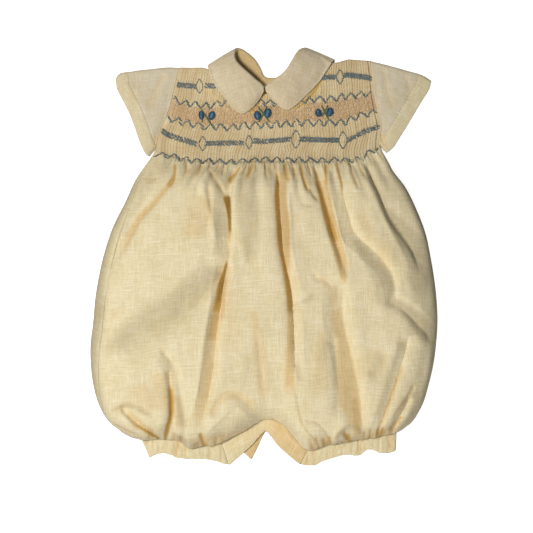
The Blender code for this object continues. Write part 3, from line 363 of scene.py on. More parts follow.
# Painted grey shade in the deepest folds and at the sides that turn away, with columns as for the golden
# shade above
GREY_PAINTED_SHADE = (
    (0.95, 1.8, ((-39.2, 66, 1.4), (-38, 60, 3.4), (-36.6, 53, 2.9), (-35.5, 44, 2.2),
                 (-35.2, 32, 1.3), (-35.2, 18, 0.7))),
    (0.85, 3.0, ((-36.8, -2, 0.9), (-39.4, -10, 1.6), (-42.2, -21, 3), (-44.8, -31, 2.8),
                 (-47, -41, 2), (-49.6, -54, 1))),
    (0.6, 2.4, ((-96, -156, 1.2), (-97.5, -168, 1.8), (-101, -181, 1.8), (-105, -194, 1.6),
                (-108, -206, 1.2))),
    (0.55, 2.2, ((-122, -180, 1), (-115, -185, 1.4), (-109, -190.5, 1.4), (-103, -198, 1.2))),
    (0.22, 3.0, ((19, 96, 4.4), (20.3, 61, 4.4), (23.6, 22, 4.6), (26, -6, 2.6))),
    (0.38, 7.0, ((89, 24, 2), (98, 12, 4), (109, -3, 7), (118, -16, 9), (123, -29, 10), (125, -43, 9),
                 (126, -58, 5))),
    (0.5, 8.0, ((121, 56, 1), (131, 44, 4), (140, 30, 9), (150, 16, 13), (158, 4, 17), (166, -8, 20),
                (170, -26, 20), (172, -48, 15))),
    (0.55, 7.0, ((122, -44, 2), (138, -48, 4), (148, -56, 6), (158, -66, 9), (168, -78, 11),
                 (176, -92, 10))),
    (0.55, 9.0, ((134, 96, 3), (150, 70, 4), (166, 37, 6), (172, 17, 7), (176, -4, 7), (179, -30, 7),
                 (181, -56, 6), (181, -70, 5))),
    (0.3, 9.0, ((181, -56, 6), (181, -82, 6), (177, -107, 6), (173, -128, 6), (167, -146, 5),
                (158, -164, 4))),
    (0.42, 16.0, ((-40, -3, 4), (-54, -16, 9), (-68, -30, 12), (-80, -43, 14), (-98, -55, 14),
                  (-118, -65, 13), (-132, -73, 10), (-146, -82, 8), (-158, -92, 5), (-172, -108, 3))),
    (0.68, 12.0, ((-118, 100, 3), (-128, 85, 5), (-144, 57, 6), (-161, 22, 7), (-172, -17, 9),
                  (-176, -60, 11), (-180, -95, 9), (-178, -130, 7), (-168, -160, 6), (-152, -182, 4))),
    (0.25, 7.0, ((-113, 90, 7), (-125, 68, 6), (-140, 42, 5), (-154, 12, 4))),
    (0.28, 5.0, ((-113, -91, 1.3), (-102, -103, 2.6), (-95.6, -118, 3.4), (-92, -133, 3.4),
                 (-88.5, -149, 3.4), (-85, -168, 3.4), (-82, -188, 3))),
    (0.35, 3.0, ((-160, -161, 1.3), (-146.3, -155, 2.2), (-133.4, -155, 2.6), (-123.1, -159, 2.4),
                 (-111, -167, 1.6))),
    (0.4, 1.6, ((-158, -172, 0.8), (-146, -178, 0.8), (-128, -184, 0.8))),
    (0.4, 6.0, ((-92, -184, 3), (-82, -192, 6), (-73, -196, 6), (-65, -188, 3))),
    (0.42, 8.0, ((-16, 88, 8), (-18, 66, 11), (-16, 40, 11), (-14, 12, 8), (-14, -14, 5))),
    (0.3, 12.0, ((-46, 96, 5), (-48, 78, 5), (-46, 40, 5), (-44, 10, 4))),
    (0.36, 6.0, ((66, -70, 1), (71, -100, 2.4), (73.5, -133, 3.6), (73.6, -153, 4.6), (75, -172, 4))),
    (0.45, 3.0, ((73, -188, 2), (78.8, -180, 2.2), (86.5, -175, 2.2), (96, -178, 1.6))),
    (0.22, 5.0, ((152, -80, 2), (139.6, -95, 3.1), (131.8, -111, 4), (127.9, -128, 4.6),
                 (124.1, -144, 4.6), (119.5, -160, 4.6), (113, -180, 3.6))),
    (0.35, 4.0, ((155, -140, 1.6), (149.9, -144, 2.4), (143.5, -153, 2.8), (135.7, -163, 2.4),
                 (129, -176, 2))),
    (0.18, 9.0, ((125, -96, 3), (121, -104, 5), (116, -118, 6), (105, -127, 4))),
    (0.4, 3.0, ((47, 72, 1.5), (52, 63, 3), (58, 57, 2))),
    (0.3, 2.0, ((38, 54, 1), (46, 53, 1), (53, 54, 1))),
    (0.3, 3.0, ((38, -46, 1.5), (45, -43, 2.4), (55, -37, 1.5))),
    (0.35, 1.6, ((32, -136, 0.7), (36, -157, 0.8), (40, -172, 0.8), (49, -185, 1), (58, -197, 1))),
    (0.4, 1.4, ((40, -168, 0.6), (53, -171, 0.8), (62, -179, 0.9), (69, -192, 1))),
    (0.4, 2.0, ((-128, 82, 0.8), (-118, 80, 1.2), (-106, 82, 0.8))),
    (0.3, 1.4, ((-150, 10, 0.5), (-158, -20, 0.6), (-164, -62, 0.6), (-168, -90, 0.6))),
)
# Painted golden shadow of the collar on the smocking along its edges, with columns as for the golden shade
# above
COLLAR_PAINTED_SHADOW = (
    (0.95, 2.6, ((64, 191, 1), (57, 180, 2), (47, 166.5, 2.2), (37, 157, 2), (25, 151.5, 1.2))),
    (0.95, 2.6, ((3, 172, 1), (-4, 163, 1.8), (-11, 154, 2), (-20, 148, 1.4))),
    (0.5, 2.6, ((-66, 184, 1), (-56, 171, 1.4), (-46, 160, 1.4), (-34, 150, 1))),
)
# Puckers where the front is gathered onto the bands. columns: x, y, and how far each leans
PUCKERS = (
    (-92, -182, -3), (-86, -184, -2), (-57, -188, -4), (-49, -187, -4), (-41, -184, -4), (47, -187, 3),
    (54, -186, 3), (61, -186, 2), (68, -184, 1), (104, -179, 1), (111, -177, -1), (119, -176, -1),
    (124, -175, -2), (132, -174, -3),
)
CREASES += tuple(
    (1.6, 1.5, 1.7, 0.6, ((x, y), (x + lean / 2, y - 6), (x + lean, y - 15))) for x, y, lean in PUCKERS
)
# Creases of both sleeves, with columns as for CREASES
SLEEVE_CREASES = (
    (1.2, 6.0, 4.0, 0.2, ((-103, 193), (-110, 179), (-118, 163), (-122, 151))),
    (0.9, 4.0, 4.0, 0.1, ((-128, 196), (-134, 180), (-135, 160))),
    (1.2, 3.0, 3.0, 0.4, ((-112, 128), (-114, 118), (-118, 106))),
    (1.2, 4.0, 6.0, 0.2, ((124, 201), (127, 185), (131, 165), (138, 150))),
    (0.8, 4.0, 4.0, 0.1, ((146, 195), (152, 178), (150, 160))),
    (1.2, 3.0, 3.0, 0.4, ((122, 130), (124, 121), (130, 110))),
)

# The rows of smocking, as x and y along the middle of each.
CABLE_UPPER = (
    (-95.7, 181), (-91.5, 179.9), (-80.1, 178.9), (-70.7, 177.8), (-63.4, 178.9), (-52, 178.4), (60.3, 187),
    (73.8, 188), (79, 188), (87.4, 190.3), (97.8, 189), (112.3, 186.6),
)
WAVE_UPPER = (
    (-97.8, 166.4), (-89.4, 162.2), (-80.1, 160.7), (-66.6, 158.1), (-54.1, 158.6), (-43.7, 160.7),
    (-36.4, 161.2), (-14.6, 161.2), (0, 160.7), (12.5, 160.2), (37.4, 163.3), (47.8, 163.8), (63.4, 164.5),
    (74.9, 165.9), (86.3, 168), (97.8, 169), (114.4, 171.1),
)
WAVE_MIDDLE = (
    (-104, 146.1), (-92.6, 143), (-80.1, 139.4), (-66.6, 136.2), (-51, 135.7), (-35.4, 135.2),
    (-19.8, 137.3), (6.2, 137.3), (18.7, 138.8), (37.4, 139.9), (63.4, 140.1), (84.2, 140.9),
    (92.6, 145.1), (105, 149.2), (118.6, 151.3),
)
CABLE_LOWER = (
    (-111.3, 132.6), (-97.8, 126), (-84.2, 121.9), (-70.3, 118), (-58.2, 118.6), (-19.8, 119),
    (-10.8, 121.1), (1, 120.4), (26, 122.8), (38.5, 123), (58.2, 122.1), (78, 121.7), (88.1, 122.4),
    (95.7, 125.8), (104.5, 130.7), (123.2, 137.3),
)
WAVE_LOWER = (
    (-111.3, 106.6), (-97.8, 105.6), (-89.4, 103), (-81.1, 100.9), (-56.2, 99.8), (-35.4, 98.8),
    (-14.6, 100.9), (6.2, 101.9), (37.4, 101.2), (68.6, 100.4), (94.6, 100.9), (103, 102.4),
    (108.2, 107.1), (112.3, 111.3), (119.6, 112.3),
)
# columns: row, height of a wave, number of the first pleat at a crest
WAVES = ((WAVE_UPPER, 3.4, 1), (WAVE_MIDDLE, 3.6, 0), (WAVE_LOWER, 3.0, 2))
# columns: row, then for each diamond on it: x, half height
CABLES = (
    (CABLE_UPPER, ((-67.5, 7.6), (79, 7.6))),
    (CABLE_LOWER, ((-64.2, 7.9), (-15.8, 7.1), (33.1, 9.7), (82.2, 9.3))),
)
TRELLIS_AT = (0.2, 0.36, 0.52, 0.68, 0.84)  # rows of the trellis, from the upper wave to the middle one
TRELLIS_RISE = 1.7        # how far its points lie over and under the row

WAVE_PLEATS = 4           # pleats in one wave
# Stitches of one wave, down and up again. columns: from a pleat and a rise, to a pleat and a rise (as
# shares of the wave's height), thickness as a share of the thread's, height over the pleats
WAVE_STROKES = (
    (-0.2, 1.05, 0.95, 0.6, 1.1, 0.4), (0.45, 0.55, 1.6, -0.05, 1.3, 0.55),
    (1.0, -0.15, 2.15, -0.85, 1.3, 0.45), (1.8, -1.05, 2.8, -0.7, 1.1, 0.4),
    (2.4, -0.5, 3.4, 0.05, 1.0, 0.55), (3.0, 0.15, 4.0, 0.75, 1.0, 0.45),
)
CABLE_GAP = 1.4           # from the middle of a cable row to each of its two ropes
CABLE_STEP = 0.6          # pleats from one stitch of a rope to the next
CABLE_LENGTH = 0.95       # pleats that each of them spans
CABLE_SLANT, BACK_SLANT = 1.25, -1.2  # how far its start lies over the middle of the rope
DIAMOND_ROOM = 1.5        # pleats that the ropes leave free on both sides of a diamond's middle
# Corners of a diamond, as shares of half its width and half its height
DIAMOND = (
    (-1, 0.08), (-0.8, 0.4), (-0.4, 0.72), (0, 1), (0.45, 0.7), (0.85, 0.38), (1, 0.0),
    (0.85, -0.4), (0.4, -0.75), (0, -1), (-0.45, -0.7), (-0.85, -0.36), (-1, -0.06),
)
DIAMOND_SHAPE = 0.48      # its width as a share of its height
UNEVEN, UNEVEN_CABLE = 0.17, 0.11  # how far, in pleats, the ends of the stitches stray
UNEVEN_RISE = 2.4         # millimetres that they stray up or down for each pleat across

# Buds of three knots. columns: x, y, length, width, lean in degrees
BUDS = (
    (-65.5, 148.0, 9.4, 6.0, 4), (-54.6, 147.6, 9.4, 7.3, -20), (-7.1, 147.6, 9.4, 7.3, 12),
    (3.8, 149.8, 10.4, 7.3, -12), (56.5, 150.4, 8.3, 6.8, 14), (68.6, 151.4, 9.4, 7.3, -14),
)
STEMS = (
    ((-65.1, 154.5), (-64.5, 140.6)), ((-65.1, 153.9), (-59.5, 145), (-52.2, 133.3)),
    ((-6.4, 157), (-1.2, 149.8), (5.6, 140.6)), ((3, 157), (-1, 149), (-5.6, 140.6)),
    ((59.7, 158.4), (63.4, 151), (67.9, 142.5)), ((66.6, 158.4), (63.4, 152), (60.1, 146.3)),
)


# ---------------------------------------------------------------- curves and patches


def smooth(stations, values, at):
    """Values at the places `at`, read from a smooth curve through the stations."""
    s, p = np.asarray(stations, float), np.asarray(values, float)
    p = p.reshape(len(s), -1)
    step = np.diff(s)[:, None]
    slope = np.diff(p, axis=0) / step
    between = (slope[:-1] * step[1:] + slope[1:] * step[:-1]) / (step[:-1] + step[1:])
    tangent = np.vstack([slope[:1], between, slope[-1:]])
    at = np.clip(np.asarray(at, float), s[0], s[-1])
    i = np.clip(np.searchsorted(s, at, side="right") - 1, 0, len(s) - 2)
    w = (s[i + 1] - s[i])[..., None]
    t = (at - s[i])[..., None] / w
    from_start = (1 + 2 * t) * (1 - t) ** 2 * p[i] + t * (1 - t) ** 2 * w * tangent[i]
    from_end = t * t * (3 - 2 * t) * p[i + 1] + t * t * (t - 1) * w * tangent[i + 1]
    return from_start + from_end


def along(points, at):
    """Points at shares `at` of the length of a smooth line through `points`."""
    p = np.asarray(points, float)
    chords = np.linalg.norm(np.diff(p, axis=0), axis=1)
    return smooth(np.concatenate([[0], np.cumsum(chords)]) / chords.sum(), p, at)


def column(table, at):
    """A table whose first column is the share across or down, read smoothly at `at`."""
    rows = np.asarray(table, float)
    return smooth(rows[:, 0], rows[:, 1:], at)


def run_of(points):
    """How far along a line each of its points lies."""
    return np.concatenate([[0], np.cumsum(np.linalg.norm(np.diff(points, axis=0), axis=1))])


def distance_to(line, x, y):
    """How far points lie from the nearest point of a line."""
    return np.hypot(x[:, None] - line[:, 0], y[:, None] - line[:, 1]).min(1)


def by_x(points, share):
    """The outline `points`, read at equal steps of x by straight lines."""
    p = np.asarray(points, float)
    x = p[0, 0] + (p[-1, 0] - p[0, 0]) * np.asarray(share, float)
    return np.stack([x, np.interp(x, p[:, 0], p[:, 1])], -1)


def patch(top, bottom, left, right, u, v):
    """A Coons patch between four outlines: u runs from left to right, v from top to bottom."""
    u, v = np.broadcast_arrays(np.asarray(u, float), np.asarray(v, float))
    a, b = u[..., None], v[..., None]
    zero, one = np.zeros(1), np.ones(1)
    upper_corners = (1 - b) * ((1 - a) * top(zero) + a * top(one))
    lower_corners = b * ((1 - a) * bottom(zero) + a * bottom(one))
    edges = (1 - b) * top(u) + b * bottom(u) + (1 - a) * left(v) + a * right(v)
    return edges - upper_corners - lower_corners


def bodice_xy(u, v, top=FRONT_TOP):
    """Where the bodice lies at shares across and down, below its upper edge `top`."""
    return patch(
        lambda s: by_x(top, s), lambda s: column(WAIST, s),
        lambda s: along(ARMHOLE_LEFT, s), lambda s: along(ARMHOLE_RIGHT, s), u, v,
    )


def bubble_xy(u, v):
    """Where the bubble lies at shares across and down."""
    return patch(
        lambda s: column(WAIST, s), lambda s: column(HEM, s),
        lambda s: along(LEFT_SIDE, s), lambda s: along(RIGHT_SIDE, s), u, v,
    )


def located(points):
    """Shares across and down at which the bubble's patch passes through the points."""
    grid = bubble_xy(ROW_AT[None, :], ROW_AT[:, None])
    shares = []
    for point in points:
        row, place = np.unravel_index(np.linalg.norm(grid - point, axis=2).argmin(), grid.shape[:2])
        at = np.array([ROW_AT[place], ROW_AT[row]])
        for _ in range(4):
            here, right, below = bubble_xy(at[0] + [0, 1e-4, 0], at[1] + [0, 0, 1e-4])
            slopes = np.column_stack([right - here, below - here]) / 1e-4
            at = np.clip(at + np.linalg.solve(slopes, point - here), 0, 0.999)
        shares.append(at)
    return np.array(shares)


def guide_knots(v):
    """Shares across of the guiding folds at share v down, from side to side."""
    guides = [np.interp(v, guide[:, 1], guide[:, 0]) for guide in GUIDE_AT]
    return [np.zeros(np.shape(v)), *guides, np.ones(np.shape(v))]


def threads(share, v, back=False):
    """Share across at which a thread lies at share v down; `back` gives the thread from the share."""
    start, end = guide_knots(np.zeros(np.shape(v))), guide_knots(v)
    if back:
        start, end = end, start
    moved = np.array(share, float)
    for a, b, c, d in zip(start, start[1:], end, end[1:]):
        inside = (share >= a) & (share <= b)
        moved = np.where(inside, c + (d - c) * (share - a) / (b - a), moved)
    return moved


# ---------------------------------------------------------------- heights

NOISE_CELLS = 97          # lumps of noise after which it repeats


def eased(x):
    """From 0 to 1, slowly at both ends."""
    x = np.clip(x, 0, 1)
    return x * x * (3 - 2 * x)


def noise(x, y, size, seed):
    """Smooth noise from -1 to 1, in lumps of about `size`."""
    table = np.random.default_rng(seed).uniform(-1, 1, (NOISE_CELLS, NOISE_CELLS))
    gx, gy = np.asarray(x, float) / size, np.asarray(y, float) / size
    i, j = np.floor(gx).astype(int), np.floor(gy).astype(int)
    a, b = eased(gx - i), eased(gy - j)
    i, j, right, below = (cell % NOISE_CELLS for cell in (i, j, i + 1, j + 1))
    upper = table[i, j] * (1 - a) + table[right, j] * a
    lower = table[i, below] * (1 - a) + table[right, below] * a
    return upper * (1 - b) + lower * b


def rounding(distance, width, power=0.5):
    """From 0 at the edge to 1 from `width` inwards: a quarter round at the power 0.5, and softer above it."""
    q = 1 - np.clip(distance / width, 0, 1)
    return np.maximum(0, 1 - q * q) ** power


def collar_lift(x, y):
    """How far the back collar lifts the bodice that lies over it."""
    reach = np.hypot((x - NECK[0]) / COLLAR_REACH[0], (y - NECK[1]) / COLLAR_REACH[1])
    return COLLAR_LIFT * (1 - eased((reach - 0.95) / 0.3))


def bodice_base(x, y):
    """Underside of the smocked front."""
    across = np.cos(np.clip((x - CROWN_AT) / CROWN_HALF, -1, 1) * math.pi / 2)
    down = np.clip((CROWN_TOP - y) / CROWN_RISE, 0, 1)
    return WALL + SEAM + collar_lift(x, y) + DOME * np.maximum(across, 0) ** 0.8 * (0.25 + 0.75 * down)


def beside(x, y, path, reach):
    """Which points lie near a path; for these, the nearest place on it and the way there in x and y."""
    near = (x > path[:, 0].min() - reach) & (x < path[:, 0].max() + reach)
    near &= (y > path[:, 1].min() - reach) & (y < path[:, 1].max() + reach)
    away_x = x[near][:, None] - path[:, 0]
    away_y = y[near][:, None] - path[:, 1]
    nearest = np.hypot(away_x, away_y).argmin(1)
    pick = (np.arange(len(nearest)), nearest)
    return near, nearest, away_x[pick], away_y[pick]


def creased(x, y, table, spread=1.0):
    """Depth of the creases at each point, and how strong their painted golden shade is there.

    A `spread` above 1 widens the creases and leaves out the ridges.
    """
    x, y = np.asarray(x, float), np.asarray(y, float)
    depth, golden_shading = np.zeros(x.shape), np.zeros(x.shape)
    for deep, on_left, on_right, *golden_shade, line in table:
        if spread > 1 and deep < 0:
            continue
        line = np.asarray(line, float)
        steps = int(np.linalg.norm(np.diff(line, axis=0), axis=1).sum() / 0.9) + 8
        share = np.linspace(0, 1, steps)
        path = along(line, share)
        reach = 3.5 * max(abs(on_left), abs(on_right)) * spread
        near, nearest, away_x, away_y = beside(x, y, path, reach)
        heading = np.gradient(path, axis=0)[nearest]
        side = heading[:, 0] * away_y - heading[:, 1] * away_x
        width = np.where(side > 0, on_left, on_right) * spread
        distance = np.hypot(away_x, away_y)
        q = distance / np.abs(width)
        shape = np.where(width < 0, np.clip(1 - q, 0, 1), 1 / (1 + q * q) ** 2)
        ends = (eased(share / 0.1) * eased((1 - share) / 0.25))[nearest]
        depth[near] += deep * ends * shape
        shade = 1 / (1 + (distance / np.minimum(1.3 * np.abs(width), 4.0)) ** 2) ** 2
        golden_shading[near] += sum(golden_shade) * ends * np.maximum(shade, 0.5 * shape)
    return depth, np.clip(golden_shading, 0, 1)


def banded(x, y, table):
    """Strength of the painted shade at each point."""
    x, y = np.asarray(x, float), np.asarray(y, float)
    shade = np.zeros(x.shape)
    for strength, soft, line in table:
        share = np.linspace(0, 1, 60)
        path = along(line, share)
        near, nearest, *away = beside(x, y, path, path[:, 2].max() + soft)
        inside = eased((path[nearest, 2] - np.hypot(*away)) / soft + 0.5)
        ends = eased(share / 0.12) * eased((1 - share) / 0.2)
        shade[near] = np.maximum(shade[near], strength * ends[nearest] * inside)
    return shade


ROW_AT = np.linspace(0, 1, 61)
PLAN = bubble_xy(ROW_AT[None, :], ROW_AT[:, None])
ROW_LENGTH = np.linalg.norm(np.diff(PLAN, axis=1), axis=2).sum(1)
COLUMN_LENGTH = np.linalg.norm(np.diff(PLAN, axis=0), axis=2).sum(0)
GUIDE_AT = [located(along(line, np.linspace(0, 1, 26))) for line in GUIDES]


def row_length(v):
    """Width of the bubble at share v down."""
    return np.interp(v, ROW_AT, ROW_LENGTH)


def column_length(u):
    """Length of the bubble at share u across."""
    return np.interp(u, ROW_AT, COLUMN_LENGTH)


def pleat_at(share):
    """Number of the pleat at a share across, counted from the left; a pleat's ridge is at its half."""
    return (share - SMOCK_START) / SMOCK_WIDTH * PLEATS


def bubble(u, v):
    """Middle of the front wall of the bubble, out to its outermost line at u = 0 and u = 1."""
    u, v = np.broadcast_arrays(np.asarray(u, float), np.asarray(v, float))
    xy = bubble_xy(u, v)
    side = column(SIDE_EDGE, v)[..., 0]
    waist = bodice_base(*np.moveaxis(column(WAIST, u), -1, 0)) + WALL / 2
    hem = column(HEM_HEIGHT, u)[..., 0]
    edges = side + (1 - v) * (waist - SIDE_EDGE[0][1]) + v * (hem - SIDE_EDGE[-1][1])
    to_side = np.minimum(u, 1 - u) * row_length(v)
    to_waist, to_hem = v * column_length(u), (1 - v) * column_length(u)
    inside = rounding(to_side, SIDE_ROUND)
    full = inside * rounding(to_waist, WAIST_ROUND, 1.0) * rounding(to_hem, HEM_ROUND, 0.75)
    edges = side + (edges - side) * inside
    across = (pleat_at(threads(u, v, back=True)) - 0.5) / PLEATS_A_GATHER
    across = across + 0.45 * noise(across, 0.0, 1.7, 14)
    gather = 0.6 * GATHER_DEPTH * np.cos(2 * math.pi * across) * eased(to_side / 12)
    gather = gather * eased(to_waist / 16) * (1 - eased((to_waist - 16) / 38))
    z = edges + PUFF * full + gather - creased(xy[..., 0], xy[..., 1], FOLDS.values())[0] * full ** 0.8
    return np.concatenate([xy, z[..., None]], -1)


def bubble_normal(u, v):
    """Outward normal of the bubble's front, from small steps that stay on it."""
    small = 2e-3
    u, v = np.broadcast_arrays(np.asarray(u, float), np.asarray(v, float))
    u0, u1 = np.clip(u - small, 0, 1), np.clip(u + small, 0, 1)
    v0, v1 = np.clip(v - small, 0, 1), np.clip(v + small, 0, 1)
    n = np.cross(bubble(u, v1) - bubble(u, v0), bubble(u1, v) - bubble(u0, v))
    return n / np.linalg.norm(n, axis=-1, keepdims=True)


# ---------------------------------------------------------------- numbers for the finer cloth

MARGIN = SMOCK_START / SMOCK_WIDTH * PLEATS  # the plain edge beside the pleats, in pleats
pleat_rng = np.random.default_rng(7)
PLEAT_HEIGHT = PLEAT_RISE * pleat_rng.uniform(0.72, 1.0, PLEATS + 4)
PLEAT_RELEASE = pleat_rng.uniform(*RELEASE, PLEATS + 4)


def share_of(number):
    """Share across at which a pleat lies; it is the other way round from pleat_at."""
    return SMOCK_START + np.asarray(number, float) / PLEATS * SMOCK_WIDTH


def pleat_numbers(phases):
    """The phases of each pleat in turn, as pleat numbers, with the plain edges beside the pleats."""
    left = np.linspace(-MARGIN, 0, 8)[:-1]
    right = np.linspace(PLEATS, PLEATS + MARGIN, 8)
    return np.concatenate([left, (np.arange(PLEATS)[:, None] + np.array(phases)).ravel(), right])


# ---------------------------------------------------------------- meshes


def piece_of(name, points, faces, surface, looks):
    """An object of its own, with per-point numbers that its material reads."""
    mesh = bpy.data.meshes.new(name)
    mesh.from_pydata(((np.asarray(points, float) - MIDDLE) * MM).tolist(), [], faces)
    mesh.shade_smooth()
    for title, values in looks.items():
        kind, field = ("FLOAT_VECTOR", "vector") if np.ndim(values) == 2 else ("FLOAT", "value")
        layer = mesh.attributes.new(title, kind, "POINT")
        layer.data.foreach_set(field, np.asarray(values, np.float32).ravel())
    mesh.materials.append(surface)
    piece = bpy.data.objects.new(name, mesh)
    bpy.context.scene.collection.objects.link(piece)
    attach(piece, "root")
    return piece


def zipped(one, two):
    """Triangles between two lines of points that may differ in number; each line is (index, share along)."""
    faces, i, j = [], 0, 0
    while i < len(one) - 1 or j < len(two) - 1:
        step_one = j == len(two) - 1
        if i < len(one) - 1 and not step_one:
            step_one = one[i][1] + one[i + 1][1] <= two[j][1] + two[j + 1][1]
        if step_one:
            faces.append((one[i][0], two[j][0], one[i + 1][0]))
            i += 1
        else:
            faces.append((one[i][0], two[j][0], two[j + 1][0]))
            j += 1
    return faces


def sewn_rows(rows, first):
    """Faces of a stack of rows, each given as (shares, points, looks), and its points' numbers."""
    made, faces = [], []
    for shares, _, _ in rows:
        made.append([(first + k, s) for k, s in enumerate(shares)])
        first += len(shares)
    for a, b in zip(made, made[1:]):
        if len(a) == len(b):
            faces += [(a[k][0], b[k][0], b[k + 1][0], a[k + 1][0]) for k in range(len(a) - 1)]
        else:
            faces += zipped(a, b)
    return made, faces, first


def wall_between(outer, inner):
    """A closed wall between two stacks of rows, whose rows may differ in number of points."""
    out, faces, following = sewn_rows(outer, 0)
    inn, under, _ = sewn_rows(inner, following)
    faces += [f[::-1] for f in under]
    faces += zipped(inn[0], out[0])
    faces += zipped(out[-1], inn[-1])
    for end in (0, -1):
        edges = []
        for stack in (out, inn):
            edges.append([(row[end][0], s) for row, s in zip(stack, np.linspace(0, 1, len(stack)))])
        faces += zipped(*edges) if end == 0 else zipped(*edges[::-1])
    points = np.concatenate([p for _, p, _ in [*outer, *inner]])
    return points, faces, np.concatenate([l for _, _, l in [*outer, *inner]])


def unit(v):
    """Vectors brought to the length 1."""
    return v / np.maximum(np.linalg.norm(v, axis=-1, keepdims=True), 1e-9)


def shell(grid, looks, closed=False):
    """A closed wall on a grid of points, with bevelled rims; `closed` joins its last column to the first."""
    rows, columns = grid.shape[:2]
    down = unit(np.gradient(grid, axis=0))
    if closed:
        across = unit(np.roll(grid, -1, 1) - np.roll(grid, 1, 1))
    else:
        across = unit(np.gradient(grid, axis=1))
    normal = unit(np.cross(down, across))
    number = np.arange(rows * columns).reshape(rows, columns)
    push = np.zeros(grid.shape)
    push[0] -= down[0]
    push[-1] += down[-1]
    if closed:
        loops = [np.append(number[0], 0)[::-1], np.append(number[-1], number[-1, 0])]
    else:
        push[:, 0] -= across[:, 0]
        push[:, -1] += across[:, -1]
        ring = [number[:-1, 0], number[-1, :-1], number[:0:-1, -1], number[0, ::-1]]
        loops = [np.concatenate(ring)]
    flat, out = grid.reshape(-1, 3), normal.reshape(-1, 3) * WALL / 2
    edge = flat + unit(push.reshape(-1, 3)) * WALL / 2
    total = len(flat)
    quads = []
    for r in range(rows - 1):
        for c in range(columns if closed else columns - 1):
            d = (c + 1) % columns
            quads.append((number[r, c], number[r + 1, c], number[r + 1, d], number[r, d]))
    quads = np.array(quads)
    faces = quads.tolist() + (quads[:, ::-1] + total).tolist()
    rim = np.unique(np.concatenate(loops))
    place = dict(zip(rim.tolist(), range(2 * total, 2 * total + len(rim))))
    for loop in loops:
        loop = loop.tolist()
        for i, j in zip(loop, loop[1:]):
            faces.append((j, i, place[i], place[j]))
            faces.append((place[j], place[i], i + total, j + total))
    points = np.concatenate([flat + out, flat - out, edge[rim]])
    looks = looks.reshape(total, -1)
    return points, faces, np.concatenate([looks, looks, looks[rim]])


def cloth_piece(name, made, surface, replaced):
    """Cloth with looks: across and along it, painted golden shade, blush, two layers with painted shade,
    painted grey shade.
    """
    points, faces, looks = made
    cloth = np.column_stack([looks[:, 0] * MM, looks[:, 1] * MM, looks[:, 2]])
    numbers = {"cloth": cloth, "blush": looks[:, 3], "layers_and_shade": looks[:, 4], "shade": looks[:, 5]}
    piece = piece_of(name, points, faces, surface, numbers)
    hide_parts(replaced)
    return piece


def looks_of(across, along_cloth, golden_shading=0.0, blush=0.0, layers_and_shade=0.0, shade=0.0):
    """The looks that cloth_piece takes, one row for each point."""
    columns = np.broadcast_arrays(np.asarray(across, float), along_cloth, golden_shading, blush, layers_and_shade, shade)
    return np.stack(columns, -1)


def strand(points, radius, sides=6, taper=0.5):
    """A round thread along `points`, thinner at its ends: its points, faces, and place along and round it."""
    p = np.asarray(points, float)
    heading = unit(np.gradient(p, axis=0))
    side = unit(np.cross(heading, (0, 0, 1)))
    up = np.cross(side, heading)
    turn = (np.arange(sides) + 0.5) * 2 * math.pi / sides - math.pi / 2
    t = np.linspace(0, 1, len(p))
    thick = np.broadcast_to(radius, len(p)) * (1 - taper * np.abs(2 * t - 1) ** 3)
    round_it = np.cos(turn)[None, :, None] * side[:, None] + np.sin(turn)[None, :, None] * up[:, None]
    rings = p[:, None] + thick[:, None, None] * round_it
    faces = [tuple(range(sides)), tuple(range(len(p) * sides - 1, (len(p) - 1) * sides - 1, -1))]
    for r in range(len(p) - 1):
        for k in range(sides):
            n = (k + 1) % sides
            a, b = r * sides, (r + 1) * sides
            faces.append((a + k, b + k, b + n, a + n))
    far = run_of(p)
    place = np.stack(np.broadcast_arrays(far[:, None] * MM, (turn / (2 * math.pi))[None, :], 0.0), -1)
    return rings.reshape(-1, 3), faces, place.reshape(-1, 3)


def thread_piece(name, strands, surface):
    """Many strands as one object, all of one colour."""
    points, faces, places, first = [], [], [], 0
    for p, f, place in strands:
        points.append(p)
        places.append(place)
        faces += [tuple(k + first for k in face) for face in f]
        first += len(p)
    return piece_of(name, np.concatenate(points), faces, surface, {"cloth": np.concatenate(places)})


def dashes(line, step=2.6, dash=1.9):
    """Sewing stitches along a line that lies on the cloth: each comes up out of it and goes down again."""
    line = np.asarray(line, float)
    far, made = run_of(line), []
    for s in np.arange(0.5, far[-1] - dash, step):
        at = s + dash * np.array([0, 0.2, 0.5, 0.8, 1.0])
        p = np.column_stack([np.interp(at, far, line[:, k]) for k in range(3)])
        p[:, 2] += (-0.12, 0.12, 0.16, 0.12, -0.12)
        made.append(strand(p, SEWING, sides=5))
    return made


# ---------------------------------------------------------------- the front

STITCH_ROWS = (CABLE_UPPER, WAVE_UPPER, WAVE_MIDDLE, CABLE_LOWER, WAVE_LOWER)
BODICE_HEIGHT = 88.0      # from the shoulders to the waist
BUBBLE_HEIGHT = 300.0     # from the waist to the lower edge
PLEAT_CLOTH = 4.6         # width of the cloth in each pleat, for the weave
INNER_CLOTH = 4.5         # the same on the inner side of the bubble
# Rows of the front, in shares down: its bodice, the pleats that run on under the waist, the rest of the
# bubble, and the bubble's inner side
BODICE_DOWN = np.linspace(0, 1, 60)
BELOW_WAIST = np.arange(1.4, 17.5, 1.4) / BUBBLE_HEIGHT
BUBBLE_DOWN = np.concatenate([np.linspace(0.0625, 0.985, 146), (0.99, 0.9955, 1.0)])
INNER_DOWN = np.concatenate([np.linspace(0.03, 0.97, 42), (0.985, 1.0)])


def row_y(row, x):
    """Height on the drawing of a row of stitches at x."""
    return np.interp(x, *np.array(row).T)


def pinched(x, y):
    """How much a row of stitches draws the pleats in at each point."""
    nearest = np.min([np.abs(y - row_y(row, x)) for row in STITCH_ROWS], axis=0)
    return np.exp(-(nearest / 1.7) ** 2)


